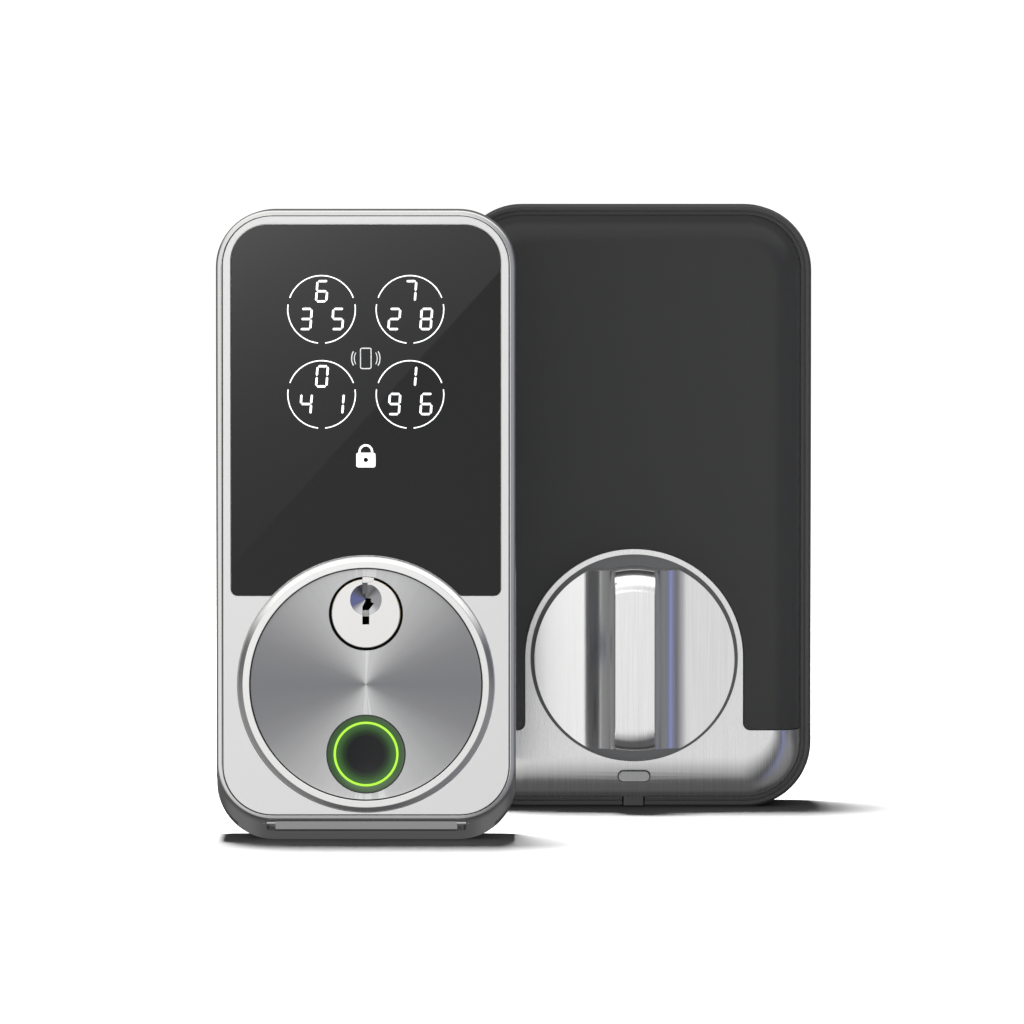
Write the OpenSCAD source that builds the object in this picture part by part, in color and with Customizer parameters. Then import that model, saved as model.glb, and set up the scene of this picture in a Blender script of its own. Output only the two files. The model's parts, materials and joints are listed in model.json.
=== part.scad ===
// Keypad smart lock: the outdoor keypad unit and the indoor thumb-turn unit,
// standing side by side as they come apart from a door.
// Front is -Y, up is +Z. Both units stand on z = 0. Millimetres.

/* [Exterior unit] */
// Width of the outdoor unit
ext_w = 72; // [71:0.5:74]
// Height of the outdoor unit
ext_h = 151.7; // [151:0.1:153]
// Corner radius of the outdoor case
ext_r = 13.8; // [13:0.1:15]
// Height of the sloped chin under the face plate
chin_h = 5; // [4.8:0.1:5.2]
// Radius of the dial ring
ring_r = 30.8; // [30.6:0.1:31]
// Radius of the brushed dial plate
dial_r = 27.9; // [27.7:0.1:28]
// Half width of the touch glass
glass_hw = 32.35; // [32:0.05:32.6]
// Height of the lower edge of the touch glass
glass_z0 = 59.1; // [58.8:0.1:59.4]
// Height of the upper edge of the touch glass
glass_z1 = 148.1; // [147.8:0.1:148.4]

/* [Interior unit] */
// Width of the indoor unit
int_w = 89.5; // [88.5:0.5:90.5]
// Height of the indoor unit
int_h = 152; // [151:0.5:153]
// Corner radius of the indoor housing
int_r = 16.5; // [16:0.1:17]
// Width of the trim rim around the indoor cover
trim = 2.6; // [2.5:0.05:2.8]
// Radius of the thumb turn
knob_r = 25.05; // [24.8:0.05:25.1]
// Half width of the grip bar on the thumb turn
grip_hw = 5.05; // [4.8:0.05:5.3]
// How far the thumb turn stands out from the escutcheon
knob_out = 15; // [14:0.5:16]

/* [Door interface] */
// Height of the spindle axis above the lower edge of the outdoor unit
spindle_z = 37.8; // [37.6:0.1:38]
// Height of the spindle axis above the lower edge of the indoor unit
indoor_spindle_z = 38.25; // [38:0.05:38.5]
// Extra room from front to back between the two units as they stand
set_back = 50; // [40:5:60]
// Distance between the two fixing bolts
bolt_cc = 38; // [37:0.5:39]
// Free length of the tailpiece behind the gasket
tail_len = 57.5; // [50:0.5:58]
// Length of the threaded posts
post_len = 20; // [16:1:24]

/* [Key cylinder] */
// Height of the key plug above the spindle
plug_dz = 17; // [17:0.1:17]
// Radius of the key plug body
plug_r = 6.35; // [6.3:0.05:6.4]
// Number of pin stacks
pin_n = 4; // [3:1:4]

/* [Gear train] */
// Module of the small gear train
gm = 0.5; // [0.5:0.1:0.5]
// Teeth on the thumb-turn gear
drive_n = 60; // [60:1:60]
// Teeth on the small idler
idler_n = 12; // [12:1:12]
// Teeth on the large idler
idler_big_n = 40; // [40:1:40]
// Teeth on the motor pinion
pinion_n = 10; // [10:1:10]

/* [Hidden] */
$fn = 64;

overlap_x = 15;                         // the outdoor unit hides this much of the indoor one's width
total_w = ext_w + int_w - overlap_x;
xe = -total_w / 2 + ext_w / 2;          // middle of the outdoor unit
xi = total_w / 2 - int_w / 2;           // middle of the indoor unit
zs = spindle_z;
zi = indoor_spindle_z;
zp = spindle_z + plug_dz;               // key plug axis
zf = 21;                                // fingerprint sensor axis

// planes of the outdoor unit, front to back
y_ring = -42.5;    // front of the dial ring
y_face = -41;      // face plate and glass
y_wall = -39.4;    // front wall of the case
y_cav = -37.4;     // cavity behind the front wall
y_bp = -19;        // back plate
y_rim = -17;       // rear rim of the case
y_eb = -16.5;      // rear of the gasket, against the door

// planes of the indoor unit, front to back
y_if = 7.5;        // front of the escutcheon
y_cov = 7.2;       // front of the battery cover
y_trim = 18.5;     // front of the housing rim
y_ihb = 40.5;      // rear of the housing
y_ib = 42.5;       // rear of the mounting plate, against the door

ic_hw = int_w / 2 - trim;               // half width of cover and escutcheon
cov_z0 = 20;                            // lower edge of the battery cover legs
arch_r = 27.5;                          // arch in the battery cover
well_r = 26.05;                         // recess around the thumb turn

// ---------------------------------------------------------------- helpers
// a flat outline drawn in x and z, standing between two y planes
module yplate(y0, y1) {
  translate([0, y1, 0]) rotate([90, 0, 0])
    linear_extrude(height = y1 - y0) children();
}
// a round bar along y
module ycyl(x, z, r, y0, y1) {
  translate([x, y0, z]) rotate([-90, 0, 0]) cylinder(r = r, h = y1 - y0);
}
// a turned piece about a y axis; the outline is [radius, y]
module yrev(x, z) {
  translate([x, 0, z]) rotate([-90, 0, 0]) rotate_extrude() children();
}
// rounded rectangle with its own radius at the top and at the bottom
module rrect(x0, x1, z0, z1, rt, rb) {
  zm = (z0 + z1) / 2;
  translate([x0 + rb, z0]) square([x1 - x0 - 2 * rb, zm - z0 + 0.01]);
  translate([x0 + rt, zm]) square([x1 - x0 - 2 * rt, z1 - zm]);
  translate([x0, z0 + rb]) square([x1 - x0, z1 - z0 - rb - rt]);
  for (sx = [0, 1]) {
    translate([sx ? x1 - rb : x0 + rb, z0 + rb]) circle(r = rb);
    translate([sx ? x1 - rt : x0 + rt, z1 - rt]) circle(r = rt);
  }
}
module pill(w, h) {
  square([w - h, h], center = true);
  for (s = [-1, 1]) translate([s * (w - h) / 2, 0]) circle(d = h);
}
// a thin slice of a rounded outline, used to build soft-edged shells
module slice(y, x0, x1, z0, z1, r) {
  yplate(y, y + 0.01) for (x = [x0 + r, x1 - r], z = [z0 + r, z1 - r])
    translate([x, z]) circle(r = r, $fn = 32);
}
// a shell blank with a quarter-ellipse edge, ew wide and ed deep
module soft_blank(x0, x1, z0, z1, r, yf, yb, ew, ed) {
  hull() {
    for (a = [0:22.5:90]) {
      i = ew * (1 - cos(a));
      slice(yf + ed * (1 - sin(a)), x0 + i, x1 - i, z0 + i, z1 - i, max(r - i, 1));
    }
    slice(yb - 0.01, x0, x1, z0, z1, r);
  }
}
// involute gear outline: m module, n teeth, bl backlash, a0 angle of one tooth
function inv_a(r, rb) = r <= rb ? 0 : sqrt((r / rb) * (r / rb) - 1) * 180 / PI - atan(sqrt((r / rb) * (r / rb) - 1));
function gear_pts(m, n, bl, a0, add, ded) =
  let (rp = m * n / 2, rb = rp * cos(20), ro = rp + add * m, rr = rp - ded * m,
       hp = 90 / n - bl / rp * 90 / PI, ip = inv_a(rp, rb),
       rs = [rr, max(rr + 0.01, (rb + rr) / 2 + 0.01), max(rb, rr + 0.1 * m), rp, (rp + ro) / 2, ro])
  [for (t = [0:n - 1]) for (k = [0:11])
    let (r = k < 6 ? rs[k] : rs[11 - k],
         h = hp + ip - inv_a(r, rb),
         a = a0 + t * 360 / n + (k < 6 ? -h : h))
    [r * cos(a), r * sin(a)]];
module gear2d(m, n, bl, a0, add = 0.85, ded = 1.3) {
  polygon(gear_pts(m, n, bl, a0, add, ded));
}
// a coil spring along z
module coil(rc, rw, h, turns, ns = 10, sides = 6) {
  n = turns * ns;
  p = [for (i = [0:n]) for (k = [0:sides - 1])
    let (a = 360 * i / ns, b = 360 * k / sides,
         r = rc + rw * cos(b), z = rw + (h - 2 * rw) * i / n + rw * sin(b))
    [r * cos(a), r * sin(a), z]];
  f = concat(
    [for (i = [0:n - 1]) for (k = [0:sides - 1]) for (t = [0, 1])
      let (a = i * sides + k, b = i * sides + (k + 1) % sides)
      t ? [a, b + sides, b] : [a, a + sides, b + sides]],
    [for (k = [1:sides - 2]) [0, k, k + 1]],
    [for (k = [1:sides - 2]) [n * sides, n * sides + k + 1, n * sides + k]]);
  polyhedron(points = p, faces = f);
}

// ---------------------------------------------------------------- outdoor unit
ex0 = xe - ext_w / 2;
ex1 = xe + ext_w / 2;
chin_y0 = -39;     // chin meets the front bevel here
chin_y1 = -34.5;   // chin meets the underside here
// local frame on the chin: x along the slot, y down the slope, z outward
chin_a = atan2(chin_h, chin_y1 - chin_y0);
chin_c = 3.3;      // middle of the port slot
module on_chin() {
  t = (chin_h - chin_c) / chin_h;
  translate([xe, chin_y0 + (chin_y1 - chin_y0) * t, chin_c])
    rotate([-chin_a, 0, 0]) mirror([0, 0, 1]) children();
}
boss_x = 27.5;
boss_z = [11, 140.5];
module case_blank() {
  hull() {
    slice(y_rim - 0.01, ex0, ex1, 0, ext_h, ext_r);
    slice(chin_y1, ex0, ex1, 0, ext_h, ext_r);
    slice(chin_y0, ex0, ex1, chin_h, ext_h, ext_r);
    slice(y_face + 0.1, ex0 + 1.3, ex1 - 1.3, chin_h + 1, ext_h - 1.25, ext_r - 1.5);
  }
}
module case_hollow() {
  hull() {
    slice(y_rim, ex0 + 2.2, ex1 - 2.2, 2.2, ext_h - 2.2, ext_r - 2.2);
    slice(chin_y1 + 0.8, ex0 + 2.2, ex1 - 2.2, 2.2, ext_h - 2.2, ext_r - 2.2);
    slice(y_cav, ex0 + 2.6, ex1 - 2.6, chin_h + 1.4, ext_h - 2.6, ext_r - 2.6);
  }
}
module exterior_case() color("Silver") {
  difference() {
    union() {
      difference() { case_blank(); case_hollow(); }
      for (s = [-1, 1], z = boss_z) ycyl(xe + s * boss_x, z, 3, y_cav - 0.5, y_bp);
      translate([xe - 27, -37.8, 2]) cube([54, 6, 5.5]);
    }
    // seat for the face plate
    yplate(y_face - 1, y_wall) rrect(ex0 + 1.45, ex1 - 1.45, chin_h + 1.15, ext_h - 1.4, ext_r - 1.7, ext_r - 1.7);
    // dial opening, keypad window and its cable slot
    ycyl(xe, zs, 29.3, y_wall - 1, y_cav + 0.6);
    yplate(y_wall - 1, y_cav + 1) rrect(xe - 28.5, xe + 28.5, 72, 143, 3, 3);
    for (s = [-1, 1], z = boss_z) ycyl(xe + s * boss_x, z, 1.25, -30, y_bp + 1);
    // slot for the port flap, with its two pin bores
    on_chin() {
      translate([-24, -1.7, -3]) cube([48, 3.2, 5]);
      translate([-25, -0.65, -0.6]) rotate([0, 90, 0]) cylinder(r = 0.55, h = 50);
    }
  }
}
module glass_2d(g = 0) {
  difference() {
    rrect(xe - glass_hw - g, xe + glass_hw + g, glass_z0 - g, glass_z1 + g, 8.9 + g, 1.6 + g);
    translate([xe, zs]) circle(r = 31.4 - g, $fn = 128);
  }
}
module face_plate() color("Gainsboro") {
  yplate(y_face, y_wall) difference() {
    rrect(ex0 + 1.7, ex1 - 1.7, chin_h + 1.4, ext_h - 1.6, ext_r - 1.95, ext_r - 1.95);
    glass_2d(0.12);
    translate([xe, zs]) circle(r = ring_r + 0.1);
  }
}
module touch_glass() color("#1c1d20") {
  yplate(y_face - 0.1, y_wall) glass_2d();
}

// legends: [x from middle, z of circle, digits top, left, right]
key_cx = 10.6;
key_z = [127.8, 107.4];
digits = [[[6, 3, 5], [7, 2, 8]], [[0, 4, 1], [1, 9, 6]]];
// seven strokes of a numeral, as [x0, z0, x1, z1] in units of the half size
strokes = [[-1, 1, 1, 1], [1, 1, 1, 0], [1, 0, 1, -1], [-1, -1, 1, -1], [-1, 0, -1, -1], [-1, 1, -1, 0], [-1, 0, 1, 0]];
lit = [[0, 1, 2, 3, 4, 5], [1, 2], [0, 1, 6, 4, 3], [0, 1, 6, 2, 3], [5, 6, 1, 2],
       [0, 5, 6, 2, 3], [0, 5, 6, 2, 3, 4], [0, 1, 2], [0, 1, 2, 3, 4, 5, 6], [6, 5, 0, 1, 2, 3]];
module stroke2d(s, hw, hh, w) {
  sl = 0.09;
  a = [s[0] * hw + s[1] * hh * sl, s[1] * hh];
  b = [s[2] * hw + s[3] * hh * sl, s[3] * hh];
  d = (b - a) / norm(b - a);
  n = [-d[1], d[0]] * w / 2;
  e = d * w / 2;
  polygon([a - e - n, b + e - n, b + e + n, a - e + n]);
}
module numeral2d(n) { for (k = lit[n]) stroke2d(strokes[k], 1.2, 2.35, 0.6); }
module arc2d_ring(x, z, r, w, a0, a1) {
  translate([x, y_face - 0.1, z]) rotate([90, 0, 0]) rotate([0, 0, a0])
    rotate_extrude(angle = a1 - a0, $fn = 72) translate([r - w / 2, 0]) square([w, 0.05]);
}
module key_legends() color("White") {
  for (r = [0, 1], c = [0, 1]) {
    x = xe + (c ? key_cx : -key_cx);
    for (a = [[20, 160], [171, 264.6], [275.4, 369]]) arc2d_ring(x, key_z[r], 8.1, 0.4, a[0], a[1]);
    for (k = [0:2]) {
      p = [[0.1, 4.3], [-3.7, -2.3], [4, -2.3]][k];
      yplate(y_face - 0.15, y_face - 0.1) translate([x + p[0], key_z[r] + p[1]]) numeral2d(digits[r][c][k]);
    }
  }
  // handset mark with waves, and a padlock mark
  yplate(y_face - 0.15, y_face - 0.1) difference() {
    rrect(xe - 1.4, xe + 1.4, 113.5, 118.6, 0.5, 0.5);
    rrect(xe - 1.05, xe + 1.05, 114.75, 118.05, 0.1, 0.1);
  }
  for (r = [2.7, 3.7]) for (a = [0, 180]) arc2d_ring(xe, 116.05, r, 0.35, a - 32, a + 32);
  yplate(y_face - 0.15, y_face - 0.1) difference() {
    rrect(xe - 2.3, xe + 2.3, 89.9, 93.4, 0.5, 0.5);
    translate([xe, 91.7]) circle(r = 0.55);
  }
  arc2d_ring(xe, 93.7, 1.5, 0.5, 0, 180);
  yplate(y_face - 0.15, y_face - 0.1) for (s = [-1, 1])
    translate([xe + s * 1.5 - 0.25, 93.38]) square([0.5, 0.4]);
}
module light_guide() color("#d8dde0") {
  yplate(y_wall, -38.4) rrect(xe - 28.3, xe + 28.3, 72.2, 142.8, 2.8, 2.8);
}
module keypad_board() color("#1d5c38") {
  yplate(-38, -36.8) rrect(xe - 28.2, xe + 28.2, 72.4, 142.6, 2.6, 2.6);
  for (r = [0, 1], c = [0, 1], k = [0:3])
    ycyl(xe + (c ? key_cx : -key_cx) + 4 * cos(45 + 90 * k), key_z[r] + 4 * sin(45 + 90 * k), 0.8, -38.35, -38);
  translate([xe - 4, -36.8, 82]) cube([8, 1.2, 8]);
}
module dial_ring() color("LightGray") {
  yrev(xe, zs) polygon([[28, y_ring], [29.6, y_ring], [ring_r, -41.4], [ring_r, y_wall],
    [29.2, y_wall], [29.2, -38.4], [26.5, -38.4], [26.5, -40.4], [28, -40.4]]);
}
module dial_plate() color("#c9cacb") {
  difference() {
    ycyl(xe, zs, dial_r, -41.9, -40.4);
    ycyl(xe, zp, 8.88, -43, -40);
    ycyl(xe, zf, 9.5, -43, -40);
  }
}

// ---- key cylinder
pin_y = [for (k = [0:pin_n - 1]) -37.4 + 3.6 * k];
module cylinder_body() color("#b9a25c") {
  difference() {
    union() {
      ycyl(xe, zp, 9.5, -40.4, -24.2);
      translate([xe - 3, -39.8, zp - 15.5]) cube([6, 15.4, 12]);
    }
    ycyl(xe, zp, plug_r + 0.05, -41, -24);
    for (y = pin_y) translate([xe, y, zp - 14.5]) cylinder(r = 1.45, h = 10);
  }
}
module key_plug() color("#d8d9da") {
  difference() {
    union() {
      ycyl(xe, zp, 8.2, -41.9, -40.45);
      ycyl(xe, zp, plug_r, -40.46, -24.25);
      ycyl(xe, zp, 4, -24.26, -19.5);
    }
    // dish, keyway and warding step
    yrev(xe, zp + 3.35) polygon([[0, -43], [4.1, -43], [3.8, -41.9], [0, -40.7]]);
    translate([xe - 0.85, -43, zp - 2.6]) cube([1.65, 18, 4.6]);
    translate([xe - 0.05, -43, zp + 0.9]) cube([1.25, 18, 2.7]);
    translate([xe - 0.85, -43, zp + 6.9]) cube([2.3, 1.5, 2]);
    for (y = pin_y) translate([xe, y, zp - 7]) cylinder(r = 1.45, h = 5);
    // groove for the clip
    yrev(xe, zp) polygon([[3.2, -19.75], [5, -19.75], [5, -19.35], [3.2, -19.35]]);
  }
}
module key_pins() color("Goldenrod") {
  for (k = [0:pin_n - 1]) translate([xe, pin_y[k], zp - 6.1])
    union() { cylinder(r = 1.4, h = 2.6); translate([0, 0, 2.6]) cylinder(r1 = 1.4, r2 = 0.6, h = 0.6); }
}
module driver_pins() color("Silver") {
  for (y = pin_y) translate([xe, y, zp - 9.8]) cylinder(r = 1.4, h = 3.2);
}
module pin_springs() color("DarkGray") {
  for (y = pin_y) translate([xe, y, zp - 14.4]) coil(1.1, 0.2, 4.55, 5, 8);
}
gear_bl = 0.12;
module plug_gear() color("#c8b070") {
  difference() {
    yplate(-22.4, -19.8) translate([xe, zp]) gear2d(1, 17, gear_bl, -90);
    ycyl(xe, zp, 4, -23, -19);
  }
}
module plug_clip() color("#303236") {
  yplate(-19.74, -19.36) translate([xe, zp]) difference() {
    circle(r = 5.4);
    circle(r = 3.25);
    translate([-1.6, -6]) square([3.2, 4.5]);
  }
}
module gear_plate() color("#a8abae") {
  difference() {
    union() {
      yplate(-23.8, -22.6) rrect(xe - 31, xe + 31, 8, 67, 5, 5);
      for (s = [-1, 1], z = [zs - 26, zs + 26]) if (z > 20) ycyl(xe + s * 28, z, 2.5, y_cav, -23.7);
      for (s = [-1, 1]) ycyl(xe + s * 22, 11, 2, y_cav, -23.7);
    }
    ycyl(xe, zp, 4.1, -25, -22);
    ycyl(xe, zs, 3.1, -25, -22);
    for (s = [-1, 1]) ycyl(xe + s * boss_x, boss_z[0], 3.3, -25, -22);
  }
}
module tailpiece_gear() color("#c8b070") {
  difference() {
    yplate(-22.4, -19.8) translate([xe, zs]) gear2d(1, 17, gear_bl, 90 + 180 / 17);
    ycyl(xe, zs, 3.02, -23, -19);
  }
}
module tailpiece() color("#b4b7ba") {
  ycyl(xe, zs, 3, -23.6, -19.79);
  ycyl(xe, zs, 4.93, -19.8, -15);
  translate([xe - 0.95, -15.01, zs - 3.4]) cube([1.9, tail_len - 1.5, 6.8]);
}

// ---- fingerprint sensor
module sensor_housing() color("#1b1c1e") {
  yrev(xe, zf) polygon([[7.9, -41.3], [8.4, -41.75], [9.45, -41.8], [9.45, -36.4], [8.2, -36.4],
    [8.2, -38.2], [5.5, -38.2], [5.5, -39.3], [7.9, -39.3]]);
}
module sensor_light_ring() color("#8be04a") {
  yrev(xe, zf) polygon([[7.13, -41.5], [7.87, -41.5], [7.87, -39.3], [7.13, -39.3]]);
}
module sensor_lens() color("#26282a") {
  yrev(xe, zf) polygon([[0, -41], [3.6, -41.05], [7.1, -41.4], [7.1, -39.3], [0, -39.3]]);
}
module sensor_board() color("#1d5c38") {
  ycyl(xe, zf, 8.15, -37.8, -36.6);
  translate([xe - 3, -36.6, zf - 3]) cube([6, 1.4, 6]);
}

// ---- electronics and rear of the outdoor unit
module exterior_board() color("#1d5c38") {
  yplate(-31, -29.4) difference() {
    rrect(xe - 28.5, xe + 28.5, 72, 136, 2, 2);
    for (s = [-1, 1]) translate([xe + s * 25, 75.5]) circle(r = 1.6);
  }
  translate([xe - 20, -29.4, 104]) cube([11, 1.4, 11]);
  translate([xe - 3, -29.4, 118]) cube([7, 1.2, 9]);
  translate([xe + 12, -29.4, 100]) cube([9, 4, 5]);
}
module buzzer() color("#232427") {
  difference() { ycyl(xe + 14, 86, 6, -29.4, -24.4); ycyl(xe + 14, 86, 1, -26, -24); }
}
module exterior_back_plate() color("#8e9194") {
  difference() {
    union() {
      yplate(y_bp, y_rim) rrect(ex0 + 2.4, ex1 - 2.4, 2.4, ext_h - 2.4, ext_r - 2.4, ext_r - 2.4);
    }
    ycyl(xe, zs, 5, y_bp - 1, y_rim + 1);
    for (s = [-1, 1]) ycyl(xe + s * bolt_cc / 2, zs, 3, y_bp - 1, y_rim + 1);
    for (s = [-1, 1], z = boss_z) ycyl(xe + s * boss_x, z, 1.6, y_bp - 1, y_rim + 1);
    ycyl(xe, 19, 3.5, y_bp - 1, y_rim + 1);
    for (s = [-1, 1]) yplate(y_bp - 1, y_rim + 1) translate([xe + s * 15, 110]) pill(9, 5);
  }
}
module back_plate_screws() color("#d0d2d4") {
  for (s = [-1, 1], z = boss_z) {
    difference() {
      union() {
        ycyl(xe + s * boss_x, z, 1.2, -27, y_rim + 0.1);
        ycyl(xe + s * boss_x, z, 2.6, y_rim, y_rim + 0.45);
      }
      translate([xe + s * boss_x - 1.8, y_rim + 0.2, z - 0.25]) cube([3.6, 1, 0.5]);
    }
  }
}
module mounting_posts() color("#b4b7ba") {
  for (s = [-1, 1]) difference() {
    union() {
      ycyl(xe + s * bolt_cc / 2, zs, 4, y_rim, y_rim + post_len);
      ycyl(xe + s * bolt_cc / 2, zs, 2.98, y_bp - 0.1, y_rim + 0.1);
      ycyl(xe + s * bolt_cc / 2, zs, 4.6, y_bp - 0.7, y_bp);
    }
    ycyl(xe + s * bolt_cc / 2, zs, 2.1, y_rim + 2, y_rim + post_len + 1);
  }
}
module gasket() color("#2a2b2d") {
  yplate(y_rim, y_eb) difference() {
    rrect(ex0 + 0.5, ex1 - 0.5, 0.5, ext_h - 0.5, ext_r - 0.5, ext_r - 0.5);
    rrect(ex0 + 3.6, ex1 - 3.6, 3.6, ext_h - 3.6, ext_r - 3.6, ext_r - 3.6);
    for (s = [-1, 1], z = boss_z) translate([xe + s * boss_x, z]) circle(r = 2.9);
  }
}
module cable_grommet() color("#232427") {
  yrev(xe, 19) polygon([[2, y_bp - 1], [5, y_bp - 1], [5, y_bp], [3.5, y_bp], [3.5, y_rim], [5, y_rim],
    [4.4, y_rim + 1.6], [2, y_rim + 1.6]]);
}
module port_flap() color("#b9bbbd") {
  on_chin() {
    union() {
      translate([-21.9, -0.65, -0.6]) rotate([0, 90, 0]) cylinder(r = 0.6, h = 43.8);
      translate([-21.9, -0.65, -1.2]) cube([43.8, 1.9, 1.2]);
      translate([-24.8, -0.65, -0.6]) rotate([0, 90, 0]) cylinder(r = 0.5, h = 49.6);
    }
  }
}
module power_contacts() color("Gold") {
  on_chin() for (x = [-5, 5]) translate([x, 0, -3]) cylinder(r = 0.8, h = 1.3);
}

// ---------------------------------------------------------------- indoor unit
ix0 = xi - int_w / 2;
ix1 = xi + int_w / 2;
hs_pos = [[-30, 16], [30, 16], [0, 141]];   // housing screws
module mounting_plate() color("#9a9da0") {
  yplate(y_ihb, y_ib) difference() {
    rrect(ix0 + 3, ix1 - 3, 3, int_h - 3, int_r - 3, int_r - 3);
    translate([xi, zi]) circle(r = 7.5);
    for (s = [-1, 1]) translate([xi + s * bolt_cc / 2, zi]) circle(r = 2.75);
    translate([xi, zi + 18]) circle(r = 6);
    for (p = hs_pos) translate([xi + p[0], p[1]]) circle(r = 1.5);
  }
}
module rear_housing() color("#3a3b3d") {
  difference() {
    union() {
      difference() {
        yplate(y_trim, y_ihb) rrect(ix0, ix1, 0, int_h, int_r, int_r);
        yplate(y_trim - 1, 38.5) rrect(ix0 + trim, ix1 - trim, trim, int_h - trim, int_r - trim, int_r - trim);
      }
      for (s = [-1, 1], z = [76, 134]) ycyl(xi + s * 29, z, 2.5, 34.6, 39);
    }
    // shadow groove in the rim
    difference() {
      yplate(y_trim - 1, y_trim + 0.8) rrect(ix0 + 1.55, ix1 - 1.55, 1.55, int_h - 1.55, int_r - 1.55, int_r - 1.55);
      yplate(y_trim - 2, y_trim + 2) rrect(ix0 + 1.9, ix1 - 1.9, 1.9, int_h - 1.9, int_r - 1.9, int_r - 1.9);
    }
    ycyl(xi, zi, 9, 38, 41);
    for (s = [-1, 1]) ycyl(xi + s * bolt_cc / 2, zi, 5.5, 38, 41);
    ycyl(xi, zi + 18, 6, 38, 41);
    for (p = hs_pos) ycyl(xi + p[0], p[1], 1.6, 38, 41);
    // slot for the latch
    translate([xi - 2.85, y_trim - 1, -1]) cube([5.7, 8.2, 4]);
  }
}
module housing_screws() color("#d0d2d4") {
  for (p = hs_pos) difference() {
    union() {
      ycyl(xi + p[0], p[1], 1.5, 38.49, 42.3);
      ycyl(xi + p[0], p[1], 3, 36.9, 38.5);
    }
    translate([xi + p[0] - 2, 36, p[1] - 0.3]) cube([4, 1.6, 0.6]);
    translate([xi + p[0] - 0.3, 36, p[1] - 2]) cube([0.6, 1.6, 4]);
  }
}
module cover_latch() color("#4a4b4e") {
  translate([xi - 2.65, 18.6, 0.1]) cube([5.3, 6.9, 4.4]);
  translate([xi - 4.5, 19, 2.9]) cube([9, 6, 0.9]);
}
module escutcheon() color("#cfd0d1") {
  difference() {
    union() {
      intersection() {
        difference() {
          soft_blank(xi - ic_hw + 0.1, xi + ic_hw - 0.1, trim + 0.1, 112, int_r - trim, y_if, y_trim - 0.05, 6, 9);
          soft_blank(xi - ic_hw + 1.7, xi + ic_hw - 1.7, trim + 1.7, 110, int_r - trim - 1.6, y_if + 1.6, y_trim + 1, 6, 9);
        }
        yplate(y_if - 1, y_trim + 1) union() {
          translate([ix0, 0]) square([int_w, cov_z0 - 0.2]);
          translate([xi - arch_r + 0.2, 10]) square([2 * arch_r - 0.4, zi - 10]);
          translate([xi, zi]) circle(r = arch_r - 0.2);
        }
      }
      ycyl(xi, zi, arch_r - 0.2, y_if, 11.2);
      translate([xi - arch_r + 0.2, y_if, cov_z0 - 0.2]) cube([2 * arch_r - 0.4, 3.7, zi - cov_z0]);
    }
    ycyl(xi, zi, well_r, y_if - 1, 9.6);
    ycyl(xi, zi, 9, 9, 12);
    yplate(y_if - 1, 14) translate([xi, btn_z]) pill(8.3, 3.05);
    yplate(9.1, 16) translate([xi, btn_z]) pill(9.8, 3.6);
  }
}
module battery_cover() color("#26272a") {
  difference() {
    soft_blank(xi - ic_hw, xi + ic_hw, -6, int_h - trim, int_r - trim, y_cov, y_trim, 7, 10.5);
    soft_blank(xi - ic_hw + 1.8, xi + ic_hw - 1.8, -10, int_h - trim - 1.8, int_r - trim - 1.8, y_cov + 1.8, y_trim + 1, 6.5, 9.5);
    translate([ix0, 0, -20]) cube([int_w, 30, 20 + cov_z0]);
    ycyl(xi, zi, arch_r, 0, 25);
    translate([xi - arch_r, 0, 0]) cube([2 * arch_r, 25, zi]);
  }
}

// ---- batteries
bat_x = [-22.2, -7.4, 7.4, 22.2];
bat_y = 19.2;
bat_r = 7.15;
bat_z0 = 83.9;
module battery_tray() color("#2c2d30") {
  difference() {
    union() {
      translate([xi - 31.5, 19.2, 80.5]) cube([63, 9, 57]);
      for (z = [80.5, 135.5]) translate([xi - 31.5, 12, z]) cube([63, 8, 2]);
      translate([xi - 39.5, 27, 84]) cube([79, 1.2, 50]);
      for (s = [-1, 1], z = [90, 128]) ycyl(xi + s * 37.3, z, 2.2, 28.1, 38.5);
    }
    for (x = bat_x) translate([xi + x, bat_y, 82.5]) cylinder(r = 7.3, h = 53);
    translate([xi - 26, 18, 82.5]) cube([52, 3, 53]);
  }
}
module batteries() color("#3d6fa8") {
  for (i = [0:3]) translate([xi + bat_x[i], bat_y, bat_z0]) {
    up = i % 2 == 0;
    union() {
      translate([0, 0, up ? 0 : 1.3]) cylinder(r = bat_r, h = 49.2);
      translate([0, 0, up ? 49.19 : 0]) cylinder(r = 2.75, h = 1.31);
    }
  }
}
module battery_contacts() color("#d9dadb") {
  for (i = [0:3]) {
    x = xi + bat_x[i];
    up = i % 2 == 0;
    for (t = [0, 1]) {
      neg = (t == 0) == up;
      translate([x - 5, bat_y - 5, t ? 135.1 : 82.5]) cube([10, 10, 0.4]);
      if (neg) translate([x, bat_y, t ? 134.4 : 82.9]) cylinder(r1 = t ? 2.5 : 4, r2 = t ? 4 : 2.5, h = t ? 0.71 : 1);
      else translate([x, bat_y, t ? 134.4 : 82.9]) cylinder(r = 2, h = t ? 0.71 : 1);
    }
  }
}

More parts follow.
